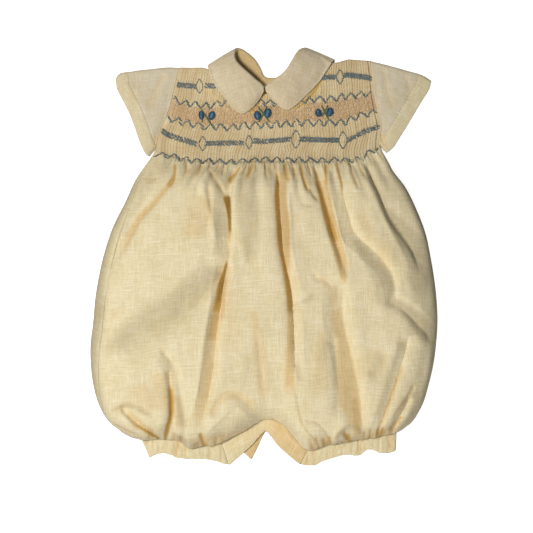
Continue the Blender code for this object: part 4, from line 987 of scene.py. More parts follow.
def pleats(number, below):
    """Height of the pleats and the shade in their valleys; `below` is the distance under the waist."""
    k = np.clip(np.floor(number), 0, PLEATS - 1).astype(int)
    inside = (number > 0) & (number < PLEATS)
    sine = np.abs(np.sin(math.pi * number)) * inside
    hold = 1 - eased((below - HOLD) / PLEAT_RELEASE[k])
    height = (0.62 + 0.38 * sine ** 0.6) * PLEAT_HEIGHT[k] * inside * hold
    weight = np.clip(0.62 + 0.75 * noise(np.round(number), below, 9.0, 18), 0.1, 1)
    return height, np.where(inside, (1 - sine) ** 3, 0.0) * hold * weight


def wandered(number, below):
    """Pleats run a little unevenly."""
    window = eased(np.minimum(number, PLEATS - number) / 3) * (1 - eased((below - 12) / 30))
    sway = 0.4 * noise(number * 2.2, below, 6.0, 11) + 0.25 * noise(number, below, 9.0, 15)
    return number + window * sway


def smocked(number, down, level=None):
    """Outer points of the smocked front, and their looks; `level` gives an even height instead of pleats."""
    number, down = np.broadcast_arrays(np.asarray(number, float), np.asarray(down, float))
    below = (down - 1) * BODICE_HEIGHT
    xy = bodice_xy(share_of(wandered(number, below)), down)
    x, y = xy[..., 0], xy[..., 1]
    height, valley = pleats(number, below)
    height = height * (0.7 + 0.3 * eased((below + BODICE_HEIGHT) / 5)) * (1 - 0.22 * pinched(x, y))
    if level is not None:
        height = level
    z = bodice_base(x, y) + WALL + height
    if level is None:
        z = z + 0.16 * noise(x, y, 8, 12)
    zone = eased((row_y(WAVE_UPPER, x) - y - 1) / 3) * eased((y - row_y(WAVE_MIDDLE, x) - 1) / 3)
    # The bodice is drawn towards the darker second colour all over, partly for its gathered layers and partly
    # as painted shade for the dimmer light at the top; the valleys and the collar's shadow add more painted
    # shade, and patches differ at random
    tan_and_shade = 0.44 + 0.55 * valley ** 0.5 + 0.24 * noise(number, below * 0.1, 1.6, 17)
    shaded = banded(x, y, COLLAR_PAINTED_SHADOW)
    golden_shade, tan_and_shade = np.maximum(0.25 * valley, shaded), tan_and_shade + 0.9 * shaded ** 2
    looks = looks_of(number * PLEAT_CLOTH, below, golden_shade, zone * (1 - 0.6 * golden_shade), np.clip(tan_and_shade, 0, 1))
    return np.concatenate([xy, z[..., None]], -1), looks


def to_waist_gap(share):
    """Height of the smocked front over the bubble where they meet."""
    xy = column(WAIST, share)
    return bodice_base(xy[..., 0], xy[..., 1]) + WALL / 2 - bubble(share, np.zeros(np.shape(share)))[..., 2]


def hem_gathers(u, x, to_hem):
    """Height of the small gathers where the front is drawn into the leg bands, and the shade in them."""
    window = np.zeros(np.shape(u))
    for first, last in (LEG_LEFT, LEG_RIGHT):
        window = np.maximum(window, eased((u - first) / 0.02) * eased((last - u) / 0.02))
    reach = 15 + 9 * noise(x, 0.0, 9, 5)
    window = window * (1 - eased(to_hem / reach)) * (0.35 + 0.65 * eased(to_hem / 5))
    waves = 1.9 * noise(x, to_hem * 0.12, 4.6, 6) + 0.9 * noise(x, to_hem * 0.1, 2.1, 7)
    return waves * window, np.clip(-waves, 0, 1) * window


def waist_gathers(number, to_waist):
    """Height of the small gathers just under the smocking, and the shade in them."""
    reach = 24 + 14 * noise(number, 0.0, 7, 9)
    wide = noise(number, to_waist * 0.03, 2.6, 8) * eased(to_waist / 8)
    wide = 1.1 * wide * (1 - eased((to_waist - 8) / reach))
    narrow = noise(number, to_waist * 0.04, 1.2, 10) * eased(to_waist / 5) * (1 - eased((to_waist - 5) / 14))
    both = wide + 0.6 * narrow
    return both, np.clip(-both - 0.15, 0, 0.8)


def undulating(x, y):
    """Broad unevenness of the bubble, longer down it than across."""
    broad = 0.9 * noise(x, y, 27, 1) + 1.3 * noise(1.7 * x + 0.2 * y, 0.55 * y, 40, 17)
    return broad + 0.45 * noise(1.6 * x - 0.3 * y, 0.6 * y, 15, 18)


def full_front(number, down, level=None, inner=False):
    """Points of the bubble's front and their looks, outside or inside; `level` is as for smocked."""
    number, v = np.broadcast_arrays(np.asarray(number, float), np.asarray(down, float))
    start = (column(SIDE_EDGE, v)[..., 1] + SEAM / 2) / row_length(v)
    below = v * BUBBLE_HEIGHT
    share = start + (1 - start) * share_of(wandered(number, below))
    u = threads(share, v)
    u = np.where(number <= -MARGIN, start, u)
    middle, normal = bubble(u, v), bubble_normal(u, v)
    to_side = np.minimum(u - start, 1 - u) * row_length(v)
    to_waist, to_hem = v * column_length(u), (1 - v) * column_length(u)
    middle[..., 2] += to_waist_gap(share) * (1 - eased(to_waist / 9))
    x, y = middle[..., 0], middle[..., 1]
    if inner:
        inside = eased(to_side / 16) * eased(to_waist / 12) * eased(to_hem / 12)
        points = middle - normal * WALL / 2
        room = creased(x, y, CREASES, 2.0)[0] + INNER_ROOM - np.minimum(undulating(x, y), 0)
        points[..., 2] -= room * inside
        points[..., 2] = np.maximum(points[..., 2], np.minimum(1.6, middle[..., 2] - 0.5))
        return points, looks_of(number * INNER_CLOTH, below)
    # Painted golden shade in the creases, the large folds and the small gathers
    deep, golden_shade = creased(x, y, CREASES)
    golden_shade = np.maximum(golden_shade, banded(x, y, GOLDEN_PAINTED_SHADE))
    quiet = eased(to_side / 12) * eased(to_waist / 6)
    deep = deep * quiet * (0.15 + 0.85 * eased(to_hem / 9))
    uneven = undulating(x, y) + 0.4 * noise(x, y, 11, 2) + 0.12 * noise(x, y, 5, 3)
    gathers, in_gather = hem_gathers(u, x, to_hem)
    small, in_small = waist_gathers(number, to_waist)
    golden_shade = golden_shade + 0.65 * in_gather + 0.35 * in_small
    height, valley = pleats(number, to_waist)
    if level is not None:
        height, uneven, deep, small = level, 0.0, 0.0, 0.0
    out = WALL / 2 + height + uneven * quiet * eased(to_hem / 8)
    points = middle + normal * np.broadcast_to(out, u.shape)[..., None]
    points[..., 2] += (gathers + small) * eased(to_side / 12) - deep
    points[..., 2] = np.maximum(points[..., 2], LEAST_HEIGHT)
    points[..., 2] += np.where(number >= PLEATS + MARGIN, SEAM / 2, 0)
    hang_at, hang_half, hang_depth = HANG
    hang = hang_depth * np.exp(-((x - hang_at) / hang_half) ** 2) * (1 - eased(to_hem / 20))
    points[..., 1] -= hang + (1 - eased(to_hem / 9)) * noise(x, 0.0, 5.5, 16)
    # Painted shade in the pleats' valleys, and a darker second colour just under the waist seam as painted
    # shade
    golden_shade = np.maximum(0.35 * valley, np.clip(golden_shade, 0, 1) * quiet)
    tan_and_shade = (0.3 + 0.5 * valley) * (1 - eased((to_waist - 0.5) / 4))
    drawn = 3.5 * noise(x, y, 45, 4)
    return points, looks_of(x * 1.15 + drawn, -y + drawn + 0.05 * x, golden_shade, 0.0, tan_and_shade, banded(x, y, GREY_PAINTED_SHADE))


def front_rows(numbers, downs, surface, **how):
    """Rows of one of the front's surfaces, as sewn_rows takes them."""
    rows = []
    for down in downs:
        points, looks = surface(numbers, np.full(len(numbers), down), **how)
        rows.append((share_of(numbers), points, looks))
    return rows


def inner_bodice(number, down):
    """Inner points of the smocked front, and their looks."""
    xy = bodice_xy(share_of(number), down)
    points = np.concatenate([xy, bodice_base(xy[..., 0], xy[..., 1])[..., None]], -1)
    return points, looks_of(number * PLEAT_CLOTH, (down - 1) * BODICE_HEIGHT)


def front_panel():
    """The front in one piece, with more columns where it is pleated and fewer on its inner side."""
    fine = pleat_numbers((0, 0.1, 0.27, 0.5, 0.73, 0.9))
    plain = pleat_numbers((0, 0.25, 0.5, 0.75))
    coarse = np.concatenate([[-MARGIN], np.arange(PLEATS) + 0.5, [PLEATS + MARGIN]])
    outer = front_rows(fine, BODICE_DOWN, smocked) + front_rows(fine, BELOW_WAIST, full_front)
    outer += front_rows(plain, BUBBLE_DOWN, full_front)
    inner = front_rows(coarse, BODICE_DOWN[::3], inner_bodice)
    inner += front_rows(coarse, INNER_DOWN, full_front, inner=True)
    return cloth_piece("cloth_front", wall_between(outer, inner), SMOCKED, "front_panel")


# ---------------------------------------------------------------- the back

BACK_TURN = np.radians(np.linspace(0, 90, 10))  # its rounding up to the sides
BACK_WRAP = np.linspace(0.1, 1.0, 7)            # steps over the left side to the seam
BACK_COLUMNS = 74                               # where it rests
BODICE_WIDTH, BACK_BODICE_HEIGHT = 230.0, 90.0  # of the back bodice's cloth
# Creases of the back, with columns as for CREASES
BACK_CREASES = (
    (1.6, 6.0, 6.0, 0.3, ((-120, 60), (-70, 20), (-20, 10), (40, -20))),
    (1.4, 5.0, 5.0, 0.3, ((110, 70), (70, 10), (60, -60), (85, -120))),
    (1.5, 5.0, 5.0, 0.3, ((-20, 70), (-50, -40), (-60, -110), (-90, -150))),
    (1.3, 4.0, 4.0, 0.3, ((30, 60), (20, 0), (35, -70), (20, -130))),
    (1.2, 6.0, 6.0, 0.2, ((-140, -40), (-90, -80), (-40, -100))),
    (1.2, 5.0, 5.0, 0.2, ((140, -30), (100, -70), (50, -100))),
)


def back_rise(x, y, room):
    """How far the resting cloth stands off the floor in its creases."""
    deep, golden_shade = creased(x, y, BACK_CREASES)
    rise = (deep + 0.35 * (1 + noise(x, y, 22, 21))) * eased((room - 8) / 26)
    return rise, golden_shade


def band_top(u):
    """Share down at which the bands start: just under the front panel's lower edge."""
    return 1 - HEM_LAP / column_length(u)


def above_bands(u):
    """Share down at which the back ends: just above the bands."""
    return band_top(u) - CLEARANCE / column_length(u)


def back_row(down):
    """Middle, outward normals and looks of one row of the back: right side, under, and over the left."""
    length = float(row_length(down))
    high, inset = column(SIDE_EDGE, down)
    bulge = (high - WALL / 2) * 0.95 * (1 - np.cos(BACK_TURN)) / length
    side_z = high - (high - WALL / 2) * np.sin(BACK_TURN)
    flat = np.linspace(1 - bulge[-1] * 1.3, bulge[-1] * 1.3, BACK_COLUMNS)
    u = np.concatenate([1 - bulge, flat, bulge[::-1]])
    v = above_bands(u) if down == BACK_END else np.full_like(u, down)
    z = np.concatenate([side_z, np.full(len(flat), WALL / 2), side_z[::-1]])
    xy = bubble_xy(u, v)
    room = np.minimum(np.minimum(u, 1 - u) * length, np.minimum(v, BACK_END - v) * BUBBLE_HEIGHT)
    rise, golden_shade = back_rise(xy[:, 0], xy[:, 1], room)
    middle = np.column_stack([xy, z + rise])
    middle[0, 2] -= SEAM / 2
    sideways = unit(bubble_xy(np.minimum(u + 1e-3, 1), v) - bubble_xy(np.maximum(u - 1e-3, 0), v))
    outward = np.concatenate([np.cos(BACK_TURN), np.zeros(len(flat)), -np.cos(BACK_TURN[::-1])])
    downward = np.concatenate([-np.sin(BACK_TURN), -np.ones(len(flat)), -np.sin(BACK_TURN[::-1])])
    normals = np.column_stack([sideways * outward[:, None], downward])
    if inset > LEAST_WRAP:
        over_u = (inset - SEAM / 2) * BACK_WRAP / length
        over_v = above_bands(over_u) if down == BACK_END else np.full_like(over_u, down)
        middle = np.vstack([middle, bubble(over_u, over_v)])
        normals = np.vstack([normals, bubble_normal(over_u, over_v)])
        golden_shade = np.concatenate([golden_shade, np.zeros(len(over_u))])
    far = run_of(middle)
    # Painted grey shade on the sides that turn away, and half the creases' painted golden shade
    shade = banded(middle[:, 0], middle[:, 1], GREY_PAINTED_SHADE) * (normals[:, 2] > -0.3)
    return far, middle, normals, looks_of(far, down * BUBBLE_HEIGHT, golden_shade * 0.5, 0.0, 0.0, shade)


def back_body():
    """The back below its bodice, as a wall between an outer and an inner stack of rows."""
    outer, inner = [], []
    for down in (*np.linspace(0, 0.985, 120), BACK_END):
        far, middle, normals, looks = back_row(down)
        outer.append((far / far[-1], middle + normals * WALL / 2, looks))
        inner.append((far / far[-1], middle - normals * WALL / 2, looks))
    return cloth_piece("cloth_back", wall_between(outer, inner), LINEN, "back_body")


def back_bodice(side, first, last):
    """One half of the back bodice, between two shares of its width."""
    u, v = np.meshgrid(np.linspace(first, last, 44), np.linspace(0, 1, 48))
    xy = bodice_xy(u, v, BACK_TOP)
    xy[..., 1] += CLEARANCE * eased((v - 0.9) / 0.1)
    x, y = xy[..., 0], xy[..., 1]
    room = bodice_base(x, y) - WALL - SEAM - collar_lift(x, y)
    inside = eased(np.minimum(u - first, last - u) * BODICE_WIDTH / 12)
    inside = inside * eased(np.minimum(v, 1 - v) * BACK_BODICE_HEIGHT / 14)
    z = WALL / 2 + collar_lift(x, y) + 0.4 * room * inside * (0.5 + 0.5 * noise(x, y, 14, 31))
    grid = np.concatenate([xy, z[..., None]], -1)
    made = shell(grid, looks_of(u * BODICE_WIDTH, v * BACK_BODICE_HEIGHT))
    return cloth_piece(f"cloth_back_bodice_{side}", made, LINEN, f"back_bodice_{side}")


# ---------------------------------------------------------------- sleeves and leg bands

# Cloth of the tubes from end to end, of the whole lower edge, and across the crotch bands, for the weave
TUBE_LENGTH, HEM_LENGTH, CROTCH_WIDTH = 60.0, 340.0, 18.0


def flat_tube(near, hem, side, over, relief, columns, rings):
    """Middle of a tube of cloth pressed flat, ring by ring, and its looks.

    `near` gives the outline of its upper end, `hem` holds the points of its lower one, and `side` those of
    its first folded side below the upper end. `over` gives the height of the folds at each ring, and
    `relief` the extra height and the looks of the upper layer, which has this many columns.
    """
    first, last = near(np.array([0.0, 1.0]))
    flat_at = np.linspace(0, 1, columns)
    turn = np.radians(np.linspace(-90, 90, 9))
    points, looks = [], []

    def within(u, v):
        """Where the tube lies, at shares across and down."""
        return patch(
            near, lambda s: along(hem, s), lambda s: along([first, *side], s),
            lambda s: along([last, hem[-1]], s), u, v,
        )

    for t in np.linspace(0, 1, rings):
        top = over(t)
        radius = (top - WALL / 2) / 2
        line = within(np.linspace(0, 1, 41), t)
        span = np.linalg.norm(np.diff(line, axis=0), axis=1).sum()
        inset = min(0.4, (radius + WALL / 2) / span)
        fold = inset - radius / span * np.cos(turn)
        flat = inset * 1.3 + (1 - 2.6 * inset) * flat_at
        u = np.concatenate([fold, flat, 1 - fold[::-1], flat[::-1]])
        xy = within(u, t)
        fold_z = WALL / 2 + radius * (1 + np.sin(turn))
        upper = slice(len(fold), len(fold) + len(flat))
        height, golden_shade, layers_and_shade = relief(flat, t, *xy[upper].T)
        z = np.concatenate([fold_z, top + height, fold_z[::-1], np.full(len(flat), WALL / 2)])
        points.append(np.column_stack([xy, z]))
        shade, layers = np.zeros((2, len(u)))
        shade[upper], layers[upper] = golden_shade, layers_and_shade
        looks.append(looks_of(u * span, t * TUBE_LENGTH, shade, 0.0, layers))
    return np.array(points), np.array(looks), upper


def sleeve(side, armhole, top, hem, sign):
    """A short set-in sleeve; `sign` is -1 on the left and 1 on the right."""
    edge = along(hem, np.linspace(0, 1, 90))

    def near(s):
        """The sleeve's end at the armhole."""
        return along(armhole, ARMHOLE_END * np.asarray(s, float)) + (CLEARANCE * sign, 0.0)

    def relief(s, t, x, y):
        """Height of the upper layer: it bulges, is creased, and lies in two layers and is stitched at the
        hem.
        """
        to_hem = distance_to(edge, x, y)
        puff = 0.2 + SLEEVE_PUFF * math.sin(math.pi * min(1, 0.15 + 0.75 * t))
        arch = puff * np.sin(math.pi * s) ** 0.7
        inner = eased(np.minimum(s, 1 - s) * 8) * eased(t * 8)
        deep, golden_shade = creased(x, y, SLEEVE_CREASES)
        uneven = 0.5 * noise(x, y, 17, 41) + 0.25 * noise(x, y, 7, 42)
        in_hem = 1 - eased((to_hem - SLEEVE_HEM + 0.8) / 1.2)
        groove = 0.5 * np.exp(-((to_hem - SLEEVE_HEM) / 0.9) ** 2)
        pucker = 0.14 * np.sin(s * 150) * np.exp(-((to_hem - SLEEVE_HEM) / 3.0) ** 2)
        dip = 0.9 * math.exp(-(t / 0.1) ** 2) * inner
        height = arch + (uneven - 0.8 * deep) * inner + 0.35 * in_hem - groove + pucker - dip
        # Painted golden shade in the creases and along the seam at the armhole
        return np.maximum(height, -0.4), np.maximum(golden_shade, 0.12 * math.exp(-(t / 0.06) ** 2)), in_hem

    points, looks, upper = flat_tube(near, hem, top[1:], lambda t: 2.2 + 0.5 * t, relief, 84, 76)
    made = shell(points, looks, closed=True)
    piece = cloth_piece(f"cloth_sleeve_{side}", made, SLEEVE_LINEN_PAINTED_SHADE, f"sleeve_{side}")
    seam = []
    for line in points[:, upper].transpose(1, 0, 2):
        away = distance_to(edge, line[:, 0], line[:, 1])
        near_seam = np.abs(away - SLEEVE_HEM).argmin()
        if abs(away[near_seam] - SLEEVE_HEM) < 1.5:
            seam.append(line[near_seam] + (0, 0, WALL / 2))
    return piece, dashes(seam)


def leg_band(side, shares, lower, seed):
    """The casing round one leg, pressed flat and gathered."""
    first, last = shares

    def near(s):
        """The band's upper edge, under the bubble's lower one."""
        u = first + (last - first) * np.asarray(s, float)
        return bubble_xy(u, band_top(u))

    def relief(s, t, x, y):
        """Height of the upper layer in its gathers."""
        fold = 0.62 * noise(x + 1.5 * t, seed, 3.1, seed)
        fold += 0.34 * noise(x, y * 0.25, 1.7, seed + 1)
        edge = eased(np.minimum(s, 1 - s) * 14)
        height = 1.0 * np.sin(math.pi * s) ** 0.7 + fold * edge * (0.75 + 0.5 * math.sin(math.pi * t))
        # The gathers' hollows get painted golden shade
        return height + 0.25, np.clip(-fold * 0.9, 0, 0.6), 0.4

    height = LEG_BAND_HEIGHT - 1.2
    points, looks, _ = flat_tube(near, lower, lower[:1], lambda t: height, relief, 150, 24)
    points[-1, :, 1] += 0.5 * noise(points[-1, :, 0], seed, 3.1, seed)
    made = shell(points, looks, closed=True)
    return cloth_piece(f"cloth_leg_band_{side}", made, LINEN, f"leg_band_{side}")


def crotch_band(side, first, last, lower, height):
    """A flat strip along the arch between the legs, with a line of stitches by each of its edges."""
    u, v = np.meshgrid(np.linspace(first, last, 110), np.linspace(0, 1, 17))
    upper = bubble_xy(u, band_top(u))
    under = along(lower, (u - CROTCH[0]) / (CROTCH[1] - CROTCH[0]))
    xy = upper + (under - upper) * v[..., None]
    x, y = xy[..., 0], xy[..., 1]
    middle = eased(np.minimum(v, 1 - v) * 5)
    groove = 0.25 * (np.exp(-((v - 0.11) / 0.05) ** 2) + np.exp(-((v - 0.87) / 0.05) ** 2))
    arch = np.sin(math.pi * (u - first) / (last - first)) ** 0.3
    rise = (0.45 + 0.3 * noise(x, y, 9, 51)) * middle * arch
    z = height + np.maximum(rise - groove * (height > 1), 0 if height < 1 else -0.3)
    grid = np.concatenate([xy, z[..., None]], -1)
    # Painted golden shade on the back band, and on the front band towards its right
    golden_shading = 0.5 if side == "back" else 0.1 + 0.35 * eased((x + 4) / 16)
    made = shell(grid, looks_of(u * HEM_LENGTH, v * CROTCH_WIDTH, golden_shading, 0.0, 0.35))
    piece = cloth_piece(f"cloth_crotch_band_{side}", made, LINEN, f"crotch_band_{side}")
    lines = [grid[k] + (0, 0, WALL / 2) for k in (2, 14)]
    return piece, [d for line in lines for d in dashes(line)]


# ---------------------------------------------------------------- the collar

STAND, TURN, FALL = 4, 11, 30  # points of a section in its stand, round its fold and down its fall


def collar_section(row, mirrored):
    """Points across the collar at one row of its table: up the stand, round the fold and down the fall."""
    seam, fold, edge, facing = row[0:3], row[3:6], row[6:9], math.radians(row[9])
    fall = edge - fold
    reach = np.hypot(fall[0], fall[1])
    ahead = np.array([fall[0], fall[1], 0]) / reach
    beside = np.array([-ahead[1], ahead[0], 0]) * (1 if mirrored else -1)
    out = beside * math.cos(facing) + np.array([0.0, 0.0, 1.0]) * math.sin(facing)
    turn = min(FOLD_RADIUS, 0.2 * reach)
    crown = FALL_CROWN * min(1, reach / 25) * max(0, math.sin(facing))
    centre = fold + ahead * turn * 1.3
    section = [seam + (centre - out * turn - seam) * k / STAND for k in range(STAND)]
    for angle in np.radians(np.linspace(-90, 90, TURN)):
        section.append(centre - ahead * turn * 1.3 * math.cos(angle) + out * turn * math.sin(angle))
    above = section[-1]
    for share in np.linspace(0, 1, FALL + 1)[1:]:
        section.append(above + (edge - above) * share + out * crown * math.sin(math.pi * share))
    section = np.array(section)
    section[:, 2] = np.maximum(section[:, 2], collar_floor(row, section[:, 0], section[:, 1]))
    return section


def collar_floor(row, x, y):
    """Least height of the collar's middle: in front of the shoulders it lies on the smocked front."""
    on_front = bodice_base(x, y) + WALL + PLEAT_RISE + SEAM + WALL / 2 + 0.15
    return np.where(row[9] > 30, on_front, WALL / 2)


def collar_half(side, table, mirrored, seed):
    """Half of a flat round collar: its stand rises from the neck seam, turns over, and falls outwards."""
    rows = smooth(np.arange(len(table)), table, np.linspace(0, len(table) - 1, 170))
    grid = np.array([collar_section(row, mirrored) for row in rows])
    x, y = grid[..., 0], grid[..., 1]
    to_edge = np.linalg.norm(grid - grid[:, -1:], axis=2)
    number, crest = np.arange(grid.shape[1]), STAND + TURN - 1
    fall = number > crest
    facing = np.clip(rows[:, 9] / 60, 0, 1)[:, None]
    groove = 0.32 * np.exp(-((to_edge - COLLAR_EDGE) / 0.55) ** 2)
    swell = 0.28 * np.exp(-((to_edge - 0.7) / 0.9) ** 2)
    uneven = 0.7 * (noise(x, y, 19, seed) + 0.45 * noise(x, y, 8, seed + 1) + 0.5) * eased((to_edge - 3) / 8)
    uneven = uneven * eased(np.linalg.norm(grid - grid[:, crest:crest + 1], axis=2) / 8)
    grid[..., 2] += (uneven + swell - groove) * fall * facing
    # Painted golden shade on the stand, down inside the neck
    inside = 0.55 * (1 - eased((number - 7) / 5))
    turned = 0.35 * (-1 if mirrored else 1)
    looks = looks_of(x + turned * y, y - turned * x, inside, 0.0, 0.75)
    piece = cloth_piece(f"cloth_collar_{side}", shell(grid, looks), COLLAR_LINEN_PAINTED_SHADE, f"collar_{side}")
    pick = np.abs(to_edge - COLLAR_EDGE) + 9 * ~fall
    line = [grid[r, pick[r].argmin()] + (0, 0, WALL / 2) for r in range(len(rows)) if rows[r, 9] > 60]
    return piece, dashes(line, step=2.3, dash=1.6)


# ---------------------------------------------------------------- the smocking stitches

# Lines down over the ridges, a part of a pleat apart, on which the stitches lie
LINE_STEP = 0.25
LINE_NUMBERS = np.arange(-1, PLEATS + 1.01, LINE_STEP)[:, None]
RIDGES = PLEAT_RISE * 0.84
MID_BODICE = 150          # y halfway down the bodice
over_bodice = smocked(LINE_NUMBERS, np.linspace(0, 1, 70)[None, :], level=RIDGES)[0]
over_bubble = full_front(LINE_NUMBERS, np.linspace(0.004, 0.03, 6)[None, :], level=RIDGES)[0]
LINES = np.concatenate([over_bodice, over_bubble], axis=1)
EDGE_FREE = 1.5           # no stitch lies nearer to the front's upper edge
COVERED = 2.5             # how far under the collar's edge the stitches run on
# The collar's edge where it covers the smocking
COLLAR_OVER = (
    (-58, 198), (-55.5, 189), (-50, 178), (-42, 168), (-33, 156), (-24, 150), (-17, 152), (-10, 158.5),
    (-5.2, 164.5), (-2.2, 169.5), (3.6, 170.5), (8, 165.5), (12, 162), (18.5, 156), (26, 154), (33, 158.5),
    (41, 166), (50, 175), (58.5, 184.5), (67, 197.5),
)


def over_pleats(number, y):
    """The point over the pleats' ridges at a pleat number and a height on the drawing."""
    at = (np.clip(number, -1, PLEATS + 1 - 1e-6) + 1) / LINE_STEP
    k = int(at)
    line = LINES[k] * (1 - (at - k)) + LINES[k + 1] * (at - k)
    return np.array([np.interp(-y, -line[:, 1], line[:, c]) for c in range(3)])


def row_point(row, number, rise):
    """A point beside a row of stitches, `rise` above its middle."""
    y = row_y(row, over_pleats(number, MID_BODICE)[0])
    y = row_y(row, over_pleats(number, y)[0])
    return over_pleats(number, y + rise)


def visible(point):
    """Whether a stitch is on the front and in front of the collar's edge."""
    x, y = point[:2]
    if y > row_y(FRONT_TOP, x) - EDGE_FREE:
        return False
    under_collar = COLLAR_OVER[0][0] < x < COLLAR_OVER[-1][0]
    return not under_collar or y < row_y(COLLAR_OVER, x) + COVERED


def stitched(start, finish, radius, lift, sink=0.3):
    """One stitch from a ridge to the next: it dips into the cloth at its ends."""
    share = np.linspace(0, 1, 5)
    p = start + (finish - start) * share[:, None]
    p[:, 2] += lift - sink * np.abs(2 * share - 1) ** 3
    return strand(p, radius)


def worked_row(row, strokes, seed, loose=UNEVEN):
    """Stitches of a row, each from one place to another; a place is a pleat's number and a rise."""
    made, jitter = [], np.random.default_rng(seed)
    for one, rise, other, fall, thick, lift in strokes:
        a, b, c, d = jitter.normal(0, loose, 4)
        start = row_point(row, one + a, rise + UNEVEN_RISE * b)
        finish = row_point(row, other + c, fall + UNEVEN_RISE * d)
        if visible(start) and visible(finish):
            made.append(stitched(start, finish, THREAD * thick, lift))
    return made


def wave_stitches(row, height, first):
    """Wave stitch: thick stitches step down to the right, and thinner ones step up again."""
    strokes = []
    for k in range(first - WAVE_PLEATS - 1, PLEATS, WAVE_PLEATS):
        for start, rise, finish, fall, *how in WAVE_STROKES:
            if -1 <= k + start and k + finish <= PLEATS + 1:
                strokes.append((k + start, height * rise, k + finish, height * fall, *how))
    return worked_row(row, strokes, first + 60)


def cable_stitches(row, middles):
    """Two ropes of slanting stitches, left out inside the diamonds; some of the lower one's slant back."""
    strokes = []
    for side in (1, -1):
        for k in np.arange(-CABLE_STEP, PLEATS, CABLE_STEP):
            if min(abs(k + CABLE_STEP - middle) for middle in middles) > DIAMOND_ROOM:
                slant = CABLE_SLANT if side == 1 or noise(k, 0.0, 5.0, 81) > -0.3 else BACK_SLANT
                rope, lift = CABLE_GAP * side, 0.4 + 0.2 * (side > 0)
                strokes.append((k, rope + slant, k + CABLE_LENGTH, rope - slant, 1.0, lift))
    return worked_row(row, strokes, 80, loose=UNEVEN_CABLE)


def surface_z(x, y):
    """Height over the ridges at a point of the smocked front."""
    flat = LINES.reshape(-1, 3)
    return flat[np.hypot(flat[:, 0] - x, flat[:, 1] - y).argmin(), 2]


def nearest_pleat(row, x):
    """Number of the pleat that lies nearest to x on a row of stitches."""
    y = row_y(row, x)
    return min(range(PLEATS), key=lambda n: abs(over_pleats(n, y)[0] - x))


def diamond_stitches(row, x, half):
    """A small open diamond of short stitches on a cable."""
    side, y = DIAMOND_SHAPE * half, row_y(row, x)
    made = []
    for (a, up), (b, down) in zip(DIAMOND, DIAMOND[1:]):
        ends = []
        for share in (0.0, 0.86):
            at_x, at_y = x + side * (a + (b - a) * share), y + half * (up + (down - up) * share)
            ends.append(np.array([at_x, at_y, surface_z(at_x, at_y)]))
        made.append(stitched(*ends, THREAD * 0.9, 0.45))
    return made


def trellis_stitches():
    """Rows of fine zigzags between the upper and the middle wave."""
    made = []
    for line, share in enumerate(TRELLIS_AT):
        ends = []
        for k in range(PLEATS):
            x = over_pleats(k + 0.5, MID_BODICE)[0]
            y = row_y(WAVE_UPPER, x) * (1 - share) + row_y(WAVE_MIDDLE, x) * share
            ends.append(over_pleats(k + 0.5, y + TRELLIS_RISE * (-1) ** (k + line)))
        for start, finish in zip(ends, ends[1:]):
            if visible(start) and visible(finish):
                made.append(stitched(start, finish, FINE_THREAD, 0.2, sink=0.35))
    return made


def stem(points):
    """A thread laid over the pleats."""
    line = along(points, np.linspace(0, 1, 14))
    z = np.array([surface_z(x, y) for x, y in line]) + 0.75
    return strand(np.column_stack([line, z]), THREAD * 1.1)


def bullion(x, y, lean, length, lift, radius, bow):
    """One knot of a bud: a thread wound round and round; it bends out sideways by `bow`."""
    angle = math.radians(90 + lean)
    t = np.linspace(-0.5, 0.5, 40)
    ahead, aside = length * t, bow * np.cos(math.pi * t)
    p = np.column_stack([
        x + ahead * math.cos(angle) + aside * math.sin(angle),
        y + ahead * math.sin(angle) - aside * math.cos(angle),
        surface_z(x, y) + lift + 0.6 * np.cos(math.pi * t),
    ])
    thick = radius * (1 - (2 * np.abs(t)) ** 3) ** 0.5 * (1 + 0.08 * np.cos(2 * math.pi * (t + 0.5) * 9))
    return strand(p, np.maximum(thick, 0.12), sides=12, taper=0.0)


def bud(x, y, length, width, lean):
    """Three knots side by side, the outer two bent round the middle one that lies over them."""
    radius = width * 0.21
    outer = [bullion(x, y, lean, length, 0.5, radius, bow * (width / 2 - radius)) for bow in (-1, 1)]
    # The middle knot is paler, partly as a painted highlight on the bud
    return outer, [bullion(x, y, lean, length * 0.74, 1.1, radius, 0.0)]


def embroidery():
    """All the threads on the smocking, an object for each kind."""
    slate = []
    for row, height, first in WAVES:
        slate += wave_stitches(row, height, first)
    for row, diamonds in CABLES:
        slate += cable_stitches(row, [nearest_pleat(row, x) for x, _ in diamonds])
        for x, half in diamonds:
            slate += diamond_stitches(row, x, half)
    petals, hearts = [], []
    for one in BUDS:
        outer, middle = bud(*one)
        petals += outer
        hearts += middle
    pieces = [
        thread_piece("smocking_stitches", slate, SLATE_THREAD),
        thread_piece("trellis_stitches", trellis_stitches(), PEACH_THREAD),
        thread_piece("stem_stitches", [stem(line) for line in STEMS], GREEN_THREAD),
        thread_piece("bud_petals", petals, BLUE_THREAD),
        thread_piece("bud_hearts", hearts, PALE_THREAD_AND_HIGHLIGHT),
    ]


# ---------------------------------------------------------------- materials

WARM_PAINTED_SHADE, DEEP_PAINTED_SHADE = (0.74, 0.56, 0.295), (0.54, 0.335, 0.075)  # painted shade of the linen on the walls of its folds, and deep in them
BLUSH = (0.54, 0.335, 0.18)  # linen behind the trellis
SHADED = (0.55, 0.52, 0.48)  # what is left of its colours in the grey shade
WEAVE_STEP = 0.0011       # metres from one thread to the next but one
TWIST_STEP = 0.0016       # metres that one turn of the stranded thread takes


def added(tree, kind, links=(), values=(), **settings):
    """A node with its inputs linked or set."""
    made = tree.nodes.new(kind)
    for name, value in settings.items():
        setattr(made, name, value)
    for socket, value in dict(values).items():
        made.inputs[socket].default_value = value
    for socket, source in dict(links).items():
        tree.links.new(source, made.inputs[socket])
    return made


